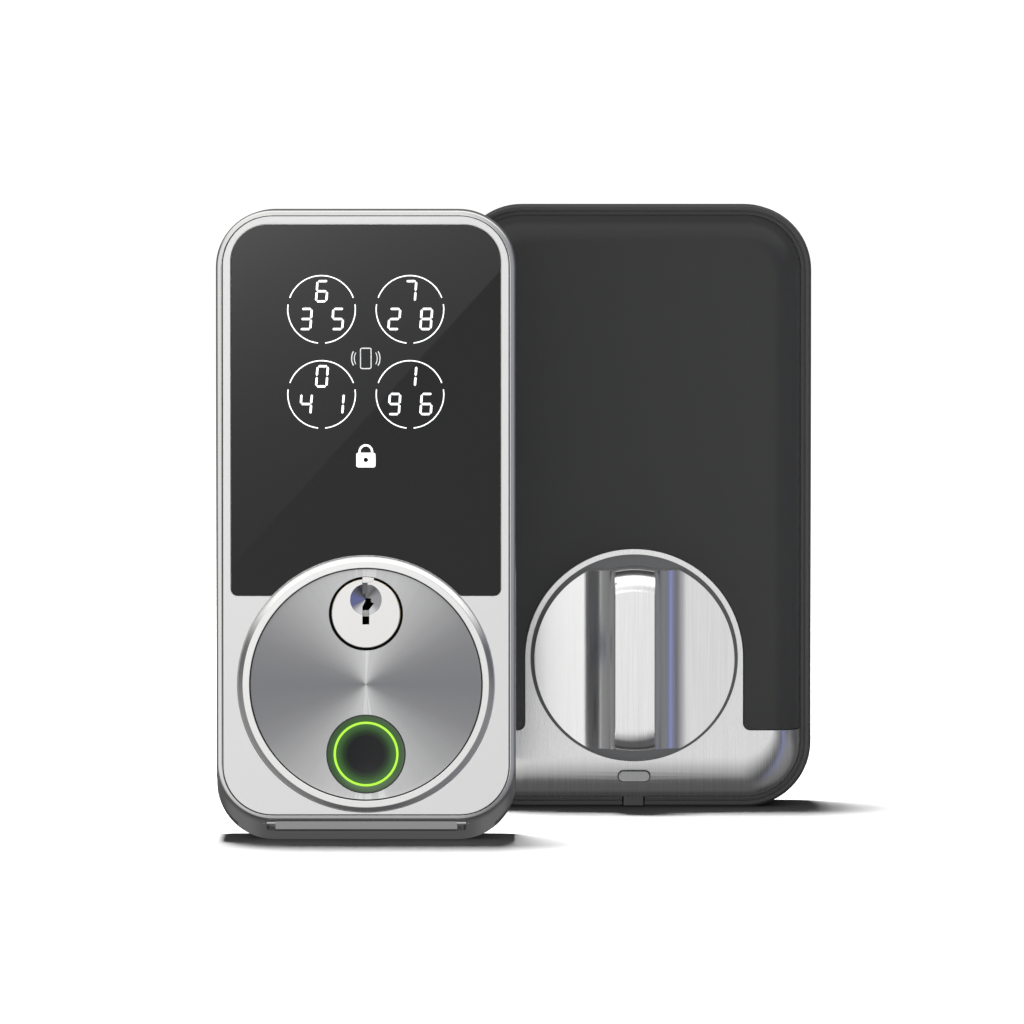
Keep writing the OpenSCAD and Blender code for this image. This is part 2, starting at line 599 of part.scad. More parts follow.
// ---- thumb turn and its gear train
y_kf = y_if - knob_out;
knob_lobe_y = 1.4;
knob_flat = 22.3;          // flats across the thumb turn at the grip's two ends
module knob_turned() {
  yrev(xi, zi) polygon([[0, y_kf], [17.4, y_kf], [19.6, y_kf + 0.45], [21.3, y_kf + 1.5], [22.4, y_kf + 3.2],
    [22.85, y_kf + 5.4], [22.9, 1.2], [knob_r - 0.4, 1.5], [knob_r, 1.9], [knob_r, 9.2], [0, 9.2]]);
}
module knob_across() {
  fy = -5;                 // the scoop starts here on the grip's side
  ax = 8.6;                // scoop half axes, across and deep
  ay = knob_lobe_y - fy;
  half = concat([[25.3, 9.3], [25.3, knob_lobe_y], [grip_hw + ax, knob_lobe_y]],
    [for (a = [100:10:170]) [grip_hw + ax + ax * cos(a), fy + ay * sin(a)]],
    [[grip_hw, fy], [grip_hw, y_kf + 0.5], [grip_hw - 0.5, y_kf - 0.1]]);
  pts = concat(half, [for (i = [len(half) - 1:-1:0]) [-half[i][0], half[i][1]]]);
  translate([xi, 0, zi - knob_flat]) linear_extrude(height = 2 * knob_flat) polygon(pts);
}
module knob() color("#cdced0") {
  difference() {
    intersection() {
      knob_turned();
      union() {
        knob_across();
        translate([xi - grip_hw, y_kf + 0.5, zi - 23]) cube([2 * grip_hw, 13, 46]);
      }
    }
    ycyl(xi, zi, 7.02, 4.18, 10);
  }
}
module knob_shaft() color("#b4b7ba") {
  difference() {
    union() {
      ycyl(xi, zi, 7, 4.2, 33.5);
      ycyl(xi, zi, 6, 33.49, 38);
    }
    translate([xi - 1.15, 20, zi - 3.7]) cube([2.3, 19, 7.4]);
    yrev(xi, zi) polygon([[6.2, 31.3], [8, 31.3], [8, 32.1], [6.2, 32.1]]);
  }
}
module knob_bearing() color("#b8a060") {
  yrev(xi, zi) polygon([[7.05, 9.7], [8.98, 9.7], [8.98, 11.21], [11, 11.21], [11, 12.4], [9, 12.4], [9, 15], [7.05, 15]]);
}
module retaining_ring() color("#303236") {
  yplate(31.35, 32.05) translate([xi, zi]) difference() {
    circle(r = 9);
    circle(r = 6.25);
    translate([-2, -10]) square([4, 8]);
  }
}
idler_z = gm * (drive_n + idler_n) / 2;           // idler above the spindle
pinion_x = gm * (idler_big_n + pinion_n) / 2;     // pinion beside the idler
module drive_gear() color("#c8b070") {
  difference() {
    yplate(28.4, 31) translate([xi, zi]) gear2d(gm, drive_n, 0.1, 90, 0.8, 1.3);
    ycyl(xi, zi, 7.02, 28, 32);
  }
}
module idler_gear() color("#e6e6e0") {
  difference() {
    union() {
      yplate(25, 27.6) translate([xi, zi + idler_z]) gear2d(gm, idler_big_n, 0.08, 0, 0.8, 1.3);
      yplate(27.59, 31.3) translate([xi, zi + idler_z]) gear2d(gm, idler_n, 0.1, -90 + 180 / idler_n, 0.8, 1.3);
    }
    ycyl(xi, zi + idler_z, 1.05, 24, 33);
  }
}
module idler_axle() color("#d0d2d4") {
  ycyl(xi, zi + idler_z, 1, 23, 32.6);
  ycyl(xi, zi + idler_z, 1.6, 31.6, 32.2);
}
module motor() color("#c4c6c8") {
  difference() {
    union() {
      intersection() {
        ycyl(xi + pinion_x, zi + idler_z, 6, 12, 23);
        translate([xi + pinion_x - 5, 11, zi + idler_z - 7]) cube([10, 13, 14]);
      }
      for (s = [-1, 1]) translate([xi + pinion_x + s * 3 - 0.5, 11.4, zi + idler_z - 0.2]) cube([1, 0.7, 0.4]);
    }
    ycyl(xi + pinion_x, zi + idler_z, 0.8, 19, 24);
  }
}
module motor_pinion() color("#c8b070") {
  union() {
    yplate(25, 27.6) translate([xi + pinion_x, zi + idler_z]) gear2d(gm, pinion_n, 0.08, 180 + 180 / pinion_n, 0.8, 1.3);
    ycyl(xi + pinion_x, zi + idler_z, 0.75, 19.5, 28);
  }
}
module gearbox_plate() color("#a8abae") {
  difference() {
    union() {
      yplate(23, 24.4) rrect(xi - 38, xi + 38, 6, 72, 6, 6);
      for (s = [-1, 1], z = [12, 66]) ycyl(xi + s * 35, z, 2.6, 24.3, 38.5);
      for (s = [-1, 1]) ycyl(xi + s * 32, 13, 2.2, 11, 23.1);
      for (s = [-1, 1]) ycyl(xi + s * 4.5, 11, 1.1, 18.7, 23.1);
    }
    ycyl(xi, zi, 8, 22, 26);
    ycyl(xi, zi + idler_z, 1, 22, 26);
    ycyl(xi + pinion_x, zi + idler_z, 1.2, 22, 26);
  }
}
module interior_board() color("#1d5c38") {
  yplate(33, 34.6) rrect(xi - 33.5, xi + 33.5, 71, 138, 2, 2);
  translate([xi - 22, 31.6, 100]) cube([12, 1.41, 12]);
  translate([xi + 6, 31.8, 112]) cube([8, 1.21, 8]);
}
module cable_socket() color("#efeee8") {
  difference() {
    translate([xi - 5, 28.6, 73]) cube([10, 4.4, 6]);
    translate([xi - 4.1, 29.6, 72]) cube([8.2, 2.6, 5.5]);
  }
}
// ---- mode button
btn_z = 8.4;
module mode_button() color("#c9cacb") {
  yplate(6.9, 9.3) translate([xi, btn_z]) pill(7.9, 2.6);
  yplate(9.2, 10) translate([xi, btn_z]) pill(9.5, 2.9);
  ycyl(xi, btn_z, 1, 9.9, 12.4);
}
module button_spring() color("DarkGray") {
  translate([xi, 10.02, btn_z]) rotate([-90, 0, 0]) coil(1.55, 0.18, 3.1, 5, 10);
}
module button_switch() color("#2c2d30") {
  union() {
    translate([xi - 3, 14, btn_z - 2.6]) cube([6, 3.51, 5.6]);
    ycyl(xi, btn_z, 1, 13.3, 14.01);
  }
  translate([xi - 7, 17.5, 6.2]) cube([14, 1.2, 8]);
}

// ---------------------------------------------------------------- layout
module outdoor() { translate([0, -set_back / 2, 0]) children(); }
module indoor() { translate([0, set_back / 2, 0]) children(); }

outdoor() exterior_case();
outdoor() face_plate();
outdoor() touch_glass();
outdoor() key_legends();
outdoor() light_guide();
outdoor() keypad_board();
outdoor() dial_ring();
outdoor() dial_plate();
outdoor() cylinder_body();
outdoor() key_plug();
outdoor() key_pins();
outdoor() driver_pins();
outdoor() pin_springs();
outdoor() plug_gear();
outdoor() plug_clip();
outdoor() gear_plate();
outdoor() tailpiece_gear();
outdoor() tailpiece();
outdoor() sensor_housing();
outdoor() sensor_light_ring();
outdoor() sensor_lens();
outdoor() sensor_board();
outdoor() exterior_board();
outdoor() buzzer();
outdoor() exterior_back_plate();
outdoor() back_plate_screws();
outdoor() mounting_posts();
outdoor() gasket();
outdoor() cable_grommet();
outdoor() port_flap();
outdoor() power_contacts();
indoor() mounting_plate();
indoor() rear_housing();
indoor() housing_screws();
indoor() cover_latch();
indoor() escutcheon();
indoor() battery_cover();
indoor() battery_tray();
indoor() batteries();
indoor() battery_contacts();
indoor() knob();
indoor() knob_shaft();
indoor() knob_bearing();
indoor() retaining_ring();
indoor() drive_gear();
indoor() idler_gear();
indoor() idler_axle();
indoor() motor();
indoor() motor_pinion();
indoor() gearbox_plate();
indoor() interior_board();
indoor() cable_socket();
indoor() mode_button();
indoor() button_switch();
indoor() button_spring();
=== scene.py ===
# Keypad smart lock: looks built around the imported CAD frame. Lengths below are in millimetres unless said.
import bpy
import bmesh
import json
import math
from mathutils import Matrix, Vector


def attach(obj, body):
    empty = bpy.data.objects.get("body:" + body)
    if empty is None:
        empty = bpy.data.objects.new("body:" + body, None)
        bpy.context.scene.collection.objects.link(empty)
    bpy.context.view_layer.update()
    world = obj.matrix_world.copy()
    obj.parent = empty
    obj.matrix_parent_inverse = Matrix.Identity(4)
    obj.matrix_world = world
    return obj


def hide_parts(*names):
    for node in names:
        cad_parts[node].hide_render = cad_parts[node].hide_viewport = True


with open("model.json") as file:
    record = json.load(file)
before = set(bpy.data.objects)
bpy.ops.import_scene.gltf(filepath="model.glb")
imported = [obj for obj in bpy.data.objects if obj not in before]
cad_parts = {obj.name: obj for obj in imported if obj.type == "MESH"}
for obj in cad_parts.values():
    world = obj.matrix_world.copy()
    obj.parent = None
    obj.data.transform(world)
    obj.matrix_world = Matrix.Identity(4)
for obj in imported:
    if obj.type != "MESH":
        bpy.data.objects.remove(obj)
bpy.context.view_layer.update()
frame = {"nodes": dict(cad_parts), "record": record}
NODES = frame["nodes"]
MM = 0.001
EY, IY = -25.0, 25.0                      # front-to-back places of the two units
XE, XI = -37.25, 28.5                     # their middles
ZS, ZI, ZP, ZF = 37.8, 38.25, 54.8, 21.0  # spindles, key plug, sensor
CHIN = 5.0
scene = bpy.context.scene


# ------------------------------------------------------------------ mesh kit
def new_obj(name, verts, faces):
    me = bpy.data.meshes.new(name)
    me.from_pydata([(x * MM, y * MM, z * MM) for x, y, z in verts], [], faces)
    me.update()
    ob = bpy.data.objects.new(name, me)
    scene.collection.objects.link(ob)
    bm = bmesh.new()
    bm.from_mesh(me)
    bmesh.ops.remove_doubles(bm, verts=bm.verts, dist=1e-7)
    bmesh.ops.recalc_face_normals(bm, faces=bm.faces)
    bm.to_mesh(me)
    bm.free()
    return ob


def rr(x0, x1, z0, z1, rt, rb=None, n=14):
    """rounded rectangle, counter-clockwise seen from the front"""
    rb = rt if rb is None else rb
    pts = []
    for cx, cz, r, a0 in ((x1 - rb, z0 + rb, rb, -90), (x1 - rt, z1 - rt, rt, 0), (x0 + rt, z1 - rt, rt, 90), (x0 + rb, z0 + rb, rb, 180)):
        for k in range(n + 1):
            a = math.radians(a0 + 90 * k / n)
            pts.append((cx + r * math.cos(a), cz + r * math.sin(a)))
    return pts


def loft(name, rings):
    """rings: [(y, [(x, z), ...])], same number of points in each"""
    verts, faces = [], []
    n = len(rings[0][1])
    for y, pts in rings:
        verts += [(x, y, z) for x, z in pts]
    for i in range(len(rings) - 1):
        a, b = i * n, (i + 1) * n
        for k in range(n):
            faces.append((a + k, a + (k + 1) % n, b + (k + 1) % n, b + k))
    faces.append(tuple(range(n)))
    faces.append(tuple((len(rings) - 1) * n + k for k in reversed(range(n))))
    return new_obj(name, verts, faces)


def prism(name, pts, y0, y1):
    return loft(name, [(y0, pts), (y1, pts)])


def turn(name, cx, cz, prof, seg=128):
    """a closed [radius, y] outline turned about a y axis"""
    verts, faces, idx = [], [], []
    for r, y in prof:
        if r < 1e-6:
            idx.append([len(verts)] * seg)
            verts.append((cx, y, cz))
        else:
            idx.append(list(range(len(verts), len(verts) + seg)))
            for k in range(seg):
                a = 2 * math.pi * k / seg
                verts.append((cx + r * math.cos(a), y, cz + r * math.sin(a)))
    m = len(prof)
    for i in range(m):
        p, q = idx[i], idx[(i + 1) % m]
        for k in range(seg):
            k2 = (k + 1) % seg
            f = []
            for v in (p[k], p[k2], q[k2], q[k]):
                if v not in f:
                    f.append(v)
            if len(f) >= 3:
                faces.append(tuple(f))
    return new_obj(name, verts, faces)


def bake(ob):
    dg = bpy.context.evaluated_depsgraph_get()
    me = bpy.data.meshes.new_from_object(ob.evaluated_get(dg))
    ob.modifiers.clear()
    old = ob.data
    ob.data = me
    bpy.data.meshes.remove(old)
    return ob


def boolean(ob, tool, op="DIFFERENCE"):
    m = ob.modifiers.new("b", "BOOLEAN")
    m.operation = op
    m.solver = "EXACT"
    m.object = tool
    bpy.context.view_layer.update()
    bake(ob)
    me = tool.data
    bpy.data.objects.remove(tool)
    bpy.data.meshes.remove(me)
    bm = bmesh.new()
    bm.from_mesh(ob.data)
    bmesh.ops.remove_doubles(bm, verts=bm.verts, dist=2e-7)
    bmesh.ops.dissolve_degenerate(bm, edges=bm.edges, dist=2e-7)
    bm.to_mesh(ob.data)
    bm.free()
    return ob


def tidy(ob, deg=0.25):
    bm = bmesh.new()
    bm.from_mesh(ob.data)
    bmesh.ops.dissolve_limit(bm, angle_limit=math.radians(deg), verts=bm.verts, edges=bm.edges)
    bm.to_mesh(ob.data)
    bm.free()
    return ob


def soften(ob, width=0.0, seg=2, angle=32, smooth=32):
    if width:
        m = ob.modifiers.new("edge", "BEVEL")
        m.width = width * MM
        m.segments = seg
        m.limit_method = "ANGLE"
        m.angle_limit = math.radians(angle)
        m.harden_normals = False
        m.use_clamp_overlap = True
        bpy.context.view_layer.update()
        bake(ob)
    ob.data.shade_smooth()
    ob.data.set_sharp_from_angle(angle=math.radians(smooth))
    w = ob.modifiers.new("weighted", "WEIGHTED_NORMAL")
    w.keep_sharp = True
    w.weight = 60
    return ob


def plate(name, loops, y0, y1, edge=0.1, res=2, y_at=None):
    """a flat plate with holes and softened edges; the first loop is the outline"""
    cu = bpy.data.curves.new(name, "CURVE")
    cu.dimensions = "2D"
    cu.fill_mode = "BOTH"
    cu.extrude = ((y1 - y0) / 2 - edge) * MM
    cu.bevel_depth = edge * MM
    cu.bevel_resolution = res
    cu.offset = -edge * MM
    for pts in loops:
        sp = cu.splines.new("POLY")
        sp.points.add(len(pts) - 1)
        for p, (x, z) in zip(sp.points, pts):
            p.co = (x * MM, z * MM, 0, 1)
        sp.use_cyclic_u = True
    co = bpy.data.objects.new(name + "_c", cu)
    scene.collection.objects.link(co)
    bpy.context.view_layer.update()
    dg = bpy.context.evaluated_depsgraph_get()
    me = bpy.data.meshes.new_from_object(co.evaluated_get(dg))
    bpy.data.objects.remove(co)
    me.transform(Matrix.Translation((0, (y0 + y1) / 2 * MM, 0)) @ Matrix.Rotation(math.pi / 2, 4, "X"))
    ob = bpy.data.objects.new(name, me)
    scene.collection.objects.link(ob)
    bm = bmesh.new()
    bm.from_mesh(me)
    bmesh.ops.remove_doubles(bm, verts=bm.verts, dist=1e-7)
    bmesh.ops.dissolve_limit(bm, angle_limit=math.radians(0.5), verts=bm.verts, edges=bm.edges)
    bmesh.ops.recalc_face_normals(bm, faces=bm.faces)
    bm.to_mesh(me)
    bm.free()
    return soften(ob, 0, smooth=34)


def circle(cx, cz, r, n=128):
    return [(cx + r * math.cos(2 * math.pi * k / n), cz + r * math.sin(2 * math.pi * k / n)) for k in range(n)]


def pill(cx, cz, w, h, n=16):
    return rr(cx - w / 2, cx + w / 2, cz - h / 2, cz + h / 2, h / 2 - 0.001, None, n)


def join(obs, name):
    bm = bmesh.new()
    for o in obs:
        bm.from_mesh(o.data)
    me = bpy.data.meshes.new(name)
    bm.to_mesh(me)
    bm.free()
    for o in obs:
        d = o.data
        bpy.data.objects.remove(o)
        bpy.data.meshes.remove(d)
    ob = bpy.data.objects.new(name, me)
    scene.collection.objects.link(ob)
    return ob


# ------------------------------------------------------------------ materials
def mat(name, color, rough, metal=0.0, *, ior=None, coat=0.0, coat_rough=0.1, aniso=0.0, spec=None, radial=None,
        grain=None, grain_bump=0.0, grain_color=0.0, grain_rough=0.0, fine=0.0, fine_scale=3.0, blotch=0.0,
        emit=None, emit_strength=0.0):
    """grain: lengths in mm of the noise cells along x, y, z. fine: bump of an even fine texture."""
    m = bpy.data.materials.new(name)
    m.use_nodes = True
    nt = m.node_tree
    nd, ln = nt.nodes, nt.links
    p = nd["Principled BSDF"]
    p.inputs["Base Color"].default_value = (*color, 1)
    p.inputs["Roughness"].default_value = rough
    p.inputs["Metallic"].default_value = metal
    if ior:
        p.inputs["IOR"].default_value = ior
    if spec is not None:
        p.inputs["Specular IOR Level"].default_value = spec
    p.inputs["Coat Weight"].default_value = coat
    p.inputs["Coat Roughness"].default_value = coat_rough
    p.inputs["Anisotropic"].default_value = aniso
    tc = nd.new("ShaderNodeTexCoord")
    if radial:
        t = nd.new("ShaderNodeTangent")
        t.direction_type = "RADIAL"
        t.axis = radial
        ln.new(t.outputs[0], p.inputs["Tangent"])
    bump_from = None
    if grain:
        mp = nd.new("ShaderNodeMapping")
        mp.inputs["Scale"].default_value = tuple(1000.0 / g for g in grain)
        ln.new(tc.outputs["Object"], mp.inputs["Vector"])
        no = nd.new("ShaderNodeTexNoise")
        no.inputs["Scale"].default_value = 1.0
        no.inputs["Detail"].default_value = 3.0
        no.inputs["Roughness"].default_value = 0.6
        ln.new(mp.outputs[0], no.inputs["Vector"])
        if grain_color:
            r = nd.new("ShaderNodeMapRange")
            r.inputs["From Min"].default_value = 0.3
            r.inputs["From Max"].default_value = 0.7
            r.inputs["To Min"].default_value = 0.0
            r.inputs["To Max"].default_value = 1.0
            ln.new(no.outputs["Fac"], r.inputs["Value"])
            mx = nd.new("ShaderNodeMix")
            mx.data_type = "RGBA"
            mx.inputs["A"].default_value = (*[c * (1 - grain_color) for c in color], 1)
            mx.inputs["B"].default_value = (*[min(1.0, c * (1 + grain_color)) for c in color], 1)
            ln.new(r.outputs[0], mx.inputs["Factor"])
            ln.new(mx.outputs["Result"], p.inputs["Base Color"])
        if grain_rough:
            r2 = nd.new("ShaderNodeMapRange")
            r2.inputs["From Min"].default_value = 0.3
            r2.inputs["From Max"].default_value = 0.7
            r2.inputs["To Min"].default_value = rough - grain_rough
            r2.inputs["To Max"].default_value = rough + grain_rough
            ln.new(no.outputs["Fac"], r2.inputs["Value"])
            ln.new(r2.outputs[0], p.inputs["Roughness"])
        bump_from = no
    if fine or blotch:
        mp2 = nd.new("ShaderNodeMapping")
        mp2.inputs["Scale"].default_value = (1000.0 / fine_scale,) * 3
        ln.new(tc.outputs["Object"], mp2.inputs["Vector"])
        no2 = nd.new("ShaderNodeTexNoise")
        no2.inputs["Scale"].default_value = 1.0
        no2.inputs["Detail"].default_value = 2.0
        ln.new(mp2.outputs[0], no2.inputs["Vector"])
        if fine:
            b2 = nd.new("ShaderNodeBump")
            b2.inputs["Strength"].default_value = fine
            b2.inputs["Distance"].default_value = 0.0001
            ln.new(no2.outputs["Fac"], b2.inputs["Height"])
            ln.new(b2.outputs[0], p.inputs["Normal"])
        if blotch and not grain_rough:
            r3 = nd.new("ShaderNodeMapRange")
            r3.inputs["To Min"].default_value = rough - blotch
            r3.inputs["To Max"].default_value = rough + blotch
            ln.new(no2.outputs["Fac"], r3.inputs["Value"])
            ln.new(r3.outputs[0], p.inputs["Roughness"])
    if bump_from and grain_bump:
        b = nd.new("ShaderNodeBump")
        b.inputs["Strength"].default_value = grain_bump
        b.inputs["Distance"].default_value = 0.00005
        ln.new(bump_from.outputs["Fac"], b.inputs["Height"])
        ln.new(b.outputs[0], p.inputs["Normal"])
    if emit:
        p.inputs["Emission Color"].default_value = (*emit, 1)
        p.inputs["Emission Strength"].default_value = emit_strength
    return m


def painted_ring_glow(m, cx, cz, stops, green, noise=0.0):
    """painted light: a glow painted as emission colour, set by distance in mm from a y axis through cx, cz"""
    nt = m.node_tree
    nd, ln = nt.nodes, nt.links
    p = nd["Principled BSDF"]
    tc = nd.new("ShaderNodeTexCoord")
    mp = nd.new("ShaderNodeMapping")
    mp.inputs["Location"].default_value = (-cx * MM * 100, 0, -cz * MM * 100)
    mp.inputs["Scale"].default_value = (100, 0, 100)
    ln.new(tc.outputs["Object"], mp.inputs["Vector"])
    le = nd.new("ShaderNodeVectorMath")
    le.operation = "LENGTH"
    ln.new(mp.outputs[0], le.inputs[0])
    ra = nd.new("ShaderNodeValToRGB")
    el = ra.color_ramp.elements
    while len(el) > 1:
        el.remove(el[-1])
    for i, (r, v) in enumerate(stops):
        e = el[0] if i == 0 else el.new(r / 10.0)
        e.position = r / 10.0
        e.color = (green[0] * v, green[1] * v, green[2] * v, 1)
    ln.new(le.outputs["Value"], ra.inputs["Fac"])
    ln.new(ra.outputs["Color"], p.inputs["Emission Color"])
    p.inputs["Emission Strength"].default_value = 1.0


M = {}
M["case_metal"] = mat("case_metal", (0.80, 0.80, 0.79), 0.24, 1, fine=0.03, fine_scale=0.35, blotch=0.03)
M["face_metal"] = mat("face_metal", (0.86, 0.86, 0.855), 0.30, 1, fine=0.05, fine_scale=0.3, blotch=0.03)
M["black_glass"] = mat("black_glass", (0.0015, 0.0016, 0.0017), 0.006, 0, ior=1.45, blotch=0.002, fine_scale=18)
M["legend_white"] = mat("legend_white", (0.9, 0.9, 0.9), 0.5, 0, emit=(0.93, 0.96, 1.0), emit_strength=0.95, blotch=0.02)
M["legend_grey"] = mat("legend_grey", (0.6, 0.6, 0.6), 0.5, 0, emit=(0.75, 0.78, 0.80), emit_strength=0.46, blotch=0.02)
M["diffuser"] = mat("diffuser", (0.82, 0.84, 0.86), 0.45, 0, fine=0.1, fine_scale=1.0)
M["circuit_board"] = mat("circuit_board", (0.020, 0.16, 0.07), 0.32, 0, coat=0.5, grain=(1.4, 1.4, 1.4), grain_color=0.35, grain_rough=0.05)
M["ring_metal"] = mat("ring_metal", (0.90, 0.90, 0.89), 0.17, 1, fine=0.03, fine_scale=0.25, blotch=0.02)
M["plug_metal"] = mat("plug_metal", (0.88, 0.87, 0.86), 0.22, 1, fine=0.05, fine_scale=0.3, blotch=0.03)
# near black: painted shade in the keyway and in the gap round the key plug, and printed black for the padlock's dot
M["shade_and_print_black"] = mat("shade_and_print_black", (0.004, 0.004, 0.004), 0.6, 0, spec=0.1, blotch=0.03)
M["ward_grey"] = mat("ward_grey", (0.50, 0.50, 0.49), 0.42, 0.3, fine=0.1, fine_scale=0.4)
M["brass"] = mat("brass", (0.78, 0.60, 0.28), 0.26, 1, grain=(0.6, 0.6, 0.6), grain_color=0.07, grain_rough=0.05)
M["spring_steel"] = mat("spring_steel", (0.66, 0.66, 0.68), 0.22, 1, grain=(0.5, 0.5, 0.5), grain_color=0.05, grain_rough=0.04)
M["dark_steel"] = mat("dark_steel", (0.10, 0.10, 0.11), 0.36, 0.9, grain=(0.6, 0.6, 0.6), grain_color=0.1, grain_rough=0.06)
M["zinc_plate"] = mat("zinc_plate", (0.62, 0.63, 0.65), 0.36, 1, grain=(5, 5, 5), grain_color=0.07, grain_rough=0.09, grain_bump=0.05)
M["sensor_black"] = mat("sensor_black", (0.012, 0.014, 0.012), 0.16, 0, coat=0.4, coat_rough=0.08, blotch=0.03)
M["sensor_green"] = mat("sensor_green", (0.05, 0.1, 0.02), 0.4, 0, emit=(0.50, 1.0, 0.05), emit_strength=1.0, blotch=0.02)
M["sensor_glass"] = mat("sensor_glass", (0.008, 0.009, 0.010), 0.22, 0, spec=0.28, blotch=0.02, fine_scale=2)
M["black_plastic"] = mat("black_plastic", (0.028, 0.029, 0.031), 0.42, 0, fine=0.25, fine_scale=0.3)
M["rubber_black"] = mat("rubber_black", (0.016, 0.016, 0.016), 0.75, 0, fine=0.3, fine_scale=0.25)
M["cover_black"] = mat("cover_black", (0.029, 0.0293, 0.0298), 0.40, 0, spec=0.33, fine=0.10, fine_scale=0.22, blotch=0.03)
M["latch_dark"] = mat("latch_dark", (0.12, 0.12, 0.122), 0.38, 0.4, fine=0.08, fine_scale=0.25, blotch=0.03)
M["housing_dark"] = mat("housing_dark", (0.072, 0.072, 0.073), 0.34, 0.5, fine=0.08, fine_scale=0.25, blotch=0.03)
M["knob_metal"] = mat("knob_metal", (0.94, 0.94, 0.935), 0.17, 1, grain=(0.2, 30, 30), grain_color=0.06, grain_rough=0.04, grain_bump=0.10)
M["escutcheon_metal"] = mat("escutcheon_metal", (0.86, 0.86, 0.855), 0.24, 1, grain=(0.22, 30, 30), grain_color=0.075, grain_rough=0.06, grain_bump=0.16)
# painted shade: a dark grey metal for recess floors, standing in for their shade
M["recess_shade_grey"] = mat("recess_shade_grey", (0.17, 0.172, 0.175), 0.36, 1, grain=(0.3, 0.3, 0.3), grain_color=0.08, grain_rough=0.05)
M["button_grey"] = mat("button_grey", (0.37, 0.372, 0.376), 0.3, 1, fine=0.08, fine_scale=0.3, blotch=0.03)
M["flap_metal"] = mat("flap_metal", (0.84, 0.84, 0.83), 0.30, 1, fine=0.02, fine_scale=0.3, blotch=0.04)
M["dish_metal"] = mat("dish_metal", (0.50, 0.50, 0.52), 0.08, 1, fine=0.02, fine_scale=0.3, blotch=0.02)
M["battery_wrap"] = mat("battery_wrap", (0.03, 0.10, 0.33), 0.25, 0, coat=0.6, grain=(9, 9, 22), grain_color=0.15)
M["nylon"] = mat("nylon", (0.80, 0.80, 0.74), 0.42, 0, fine=0.15, fine_scale=0.5)
M["gold"] = mat("gold", (0.90, 0.70, 0.30), 0.2, 1, grain=(0.4, 0.4, 0.4), grain_color=0.05)
# the brushed dial: circular lines from a noise that reads the radius only, plus painted highlight and painted shade in
# the base colour below
dm = mat("brushed_dial", (0.80, 0.80, 0.81), 0.40, 1, aniso=1.0)
_nt = dm.node_tree
_nd, _ln = _nt.nodes, _nt.links
_tc = _nd.new("ShaderNodeTexCoord")
_mp = _nd.new("ShaderNodeMapping")
_mp.inputs["Location"].default_value = (-XE * MM, 0, -ZS * MM)
_mp.inputs["Scale"].default_value = (1, 0, 1)
_ln.new(_tc.outputs["Object"], _mp.inputs["Vector"])
_le = _nd.new("ShaderNodeVectorMath")
_le.operation = "LENGTH"
_ln.new(_mp.outputs[0], _le.inputs[0])
_nz = _nd.new("ShaderNodeVectorMath")
_nz.operation = "NORMALIZE"
_ln.new(_mp.outputs[0], _nz.inputs[0])
_vt = _nd.new("ShaderNodeVectorTransform")
_vt.vector_type = "VECTOR"
_vt.convert_from = "OBJECT"
_vt.convert_to = "WORLD"
_ln.new(_nz.outputs[0], _vt.inputs[0])
_ln.new(_vt.outputs[0], _nd["Principled BSDF"].inputs["Tangent"])
_no = _nd.new("ShaderNodeTexNoise")
_no.noise_dimensions = "1D"
_no.inputs["Scale"].default_value = 5200.0
_no.inputs["Detail"].default_value = 3.0
_ln.new(_le.outputs["Value"], _no.inputs["W"])
_mx = _nd.new("ShaderNodeMix")
_mx.data_type = "RGBA"
_mx.inputs["A"].default_value = (0.92, 0.925, 0.93, 1)
_mx.inputs["B"].default_value = (1.0, 1.0, 1.0, 1)
_ln.new(_no.outputs["Fac"], _mx.inputs["Factor"])
# painted highlight and painted shade: the base tone is painted by direction round the plate's middle, light towards top
# and bottom and dark towards the sides, with painted streaks from an angular noise; it carries most of the bright and
# dark fans
_sx = _nd.new("ShaderNodeSeparateXYZ")
_ln.new(_nz.outputs[0], _sx.inputs[0])
_ab = _nd.new("ShaderNodeMath")
_ab.operation = "ABSOLUTE"
_ln.new(_sx.outputs["Z"], _ab.inputs[0])
_painted_streak_noise = _nd.new("ShaderNodeTexNoise")
_painted_streak_noise.inputs["Scale"].default_value = 9.0
_painted_streak_noise.inputs["Detail"].default_value = 6.0
_painted_streak_noise.inputs["Roughness"].default_value = 0.7
_ln.new(_nz.outputs[0], _painted_streak_noise.inputs["Vector"])
_ad = _nd.new("ShaderNodeMath")
_ad.operation = "MULTIPLY_ADD"
_ad.inputs[1].default_value = 0.17
_ln.new(_painted_streak_noise.outputs["Fac"], _ad.inputs[0])
_ln.new(_ab.outputs[0], _ad.inputs[2])
_painted_fan_ramp = _nd.new("ShaderNodeValToRGB")
_painted_fan_stops = _painted_fan_ramp.color_ramp.elements
_painted_fan_stops[0].position = 0.12
_painted_fan_stops[0].color = (0.46, 0.465, 0.475, 1)
_painted_fan_stops[1].position = 1.0
_painted_fan_stops[1].color = (1.0, 1.0, 1.0, 1)
for _p, _v in ((0.42, 0.52), (0.66, 0.62), (0.86, 0.72), (0.98, 0.82), (1.0, 0.86)):
    _e = _painted_fan_stops.new(_p - 0.001)
    _e.color = (_v, _v, _v, 1)
_sc = _nd.new("ShaderNodeMath")
_sc.operation = "MULTIPLY"
_sc.inputs[1].default_value = 1 / 1.085
_ln.new(_ad.outputs[0], _sc.inputs[0])
_ln.new(_sc.outputs[0], _painted_fan_ramp.inputs["Fac"])
_m2 = _nd.new("ShaderNodeMix")
_m2.data_type = "RGBA"
_m2.blend_type = "MULTIPLY"
_m2.inputs["Factor"].default_value = 1.0
_ln.new(_mx.outputs["Result"], _m2.inputs["A"])
_ln.new(_painted_fan_ramp.outputs["Color"], _m2.inputs["B"])
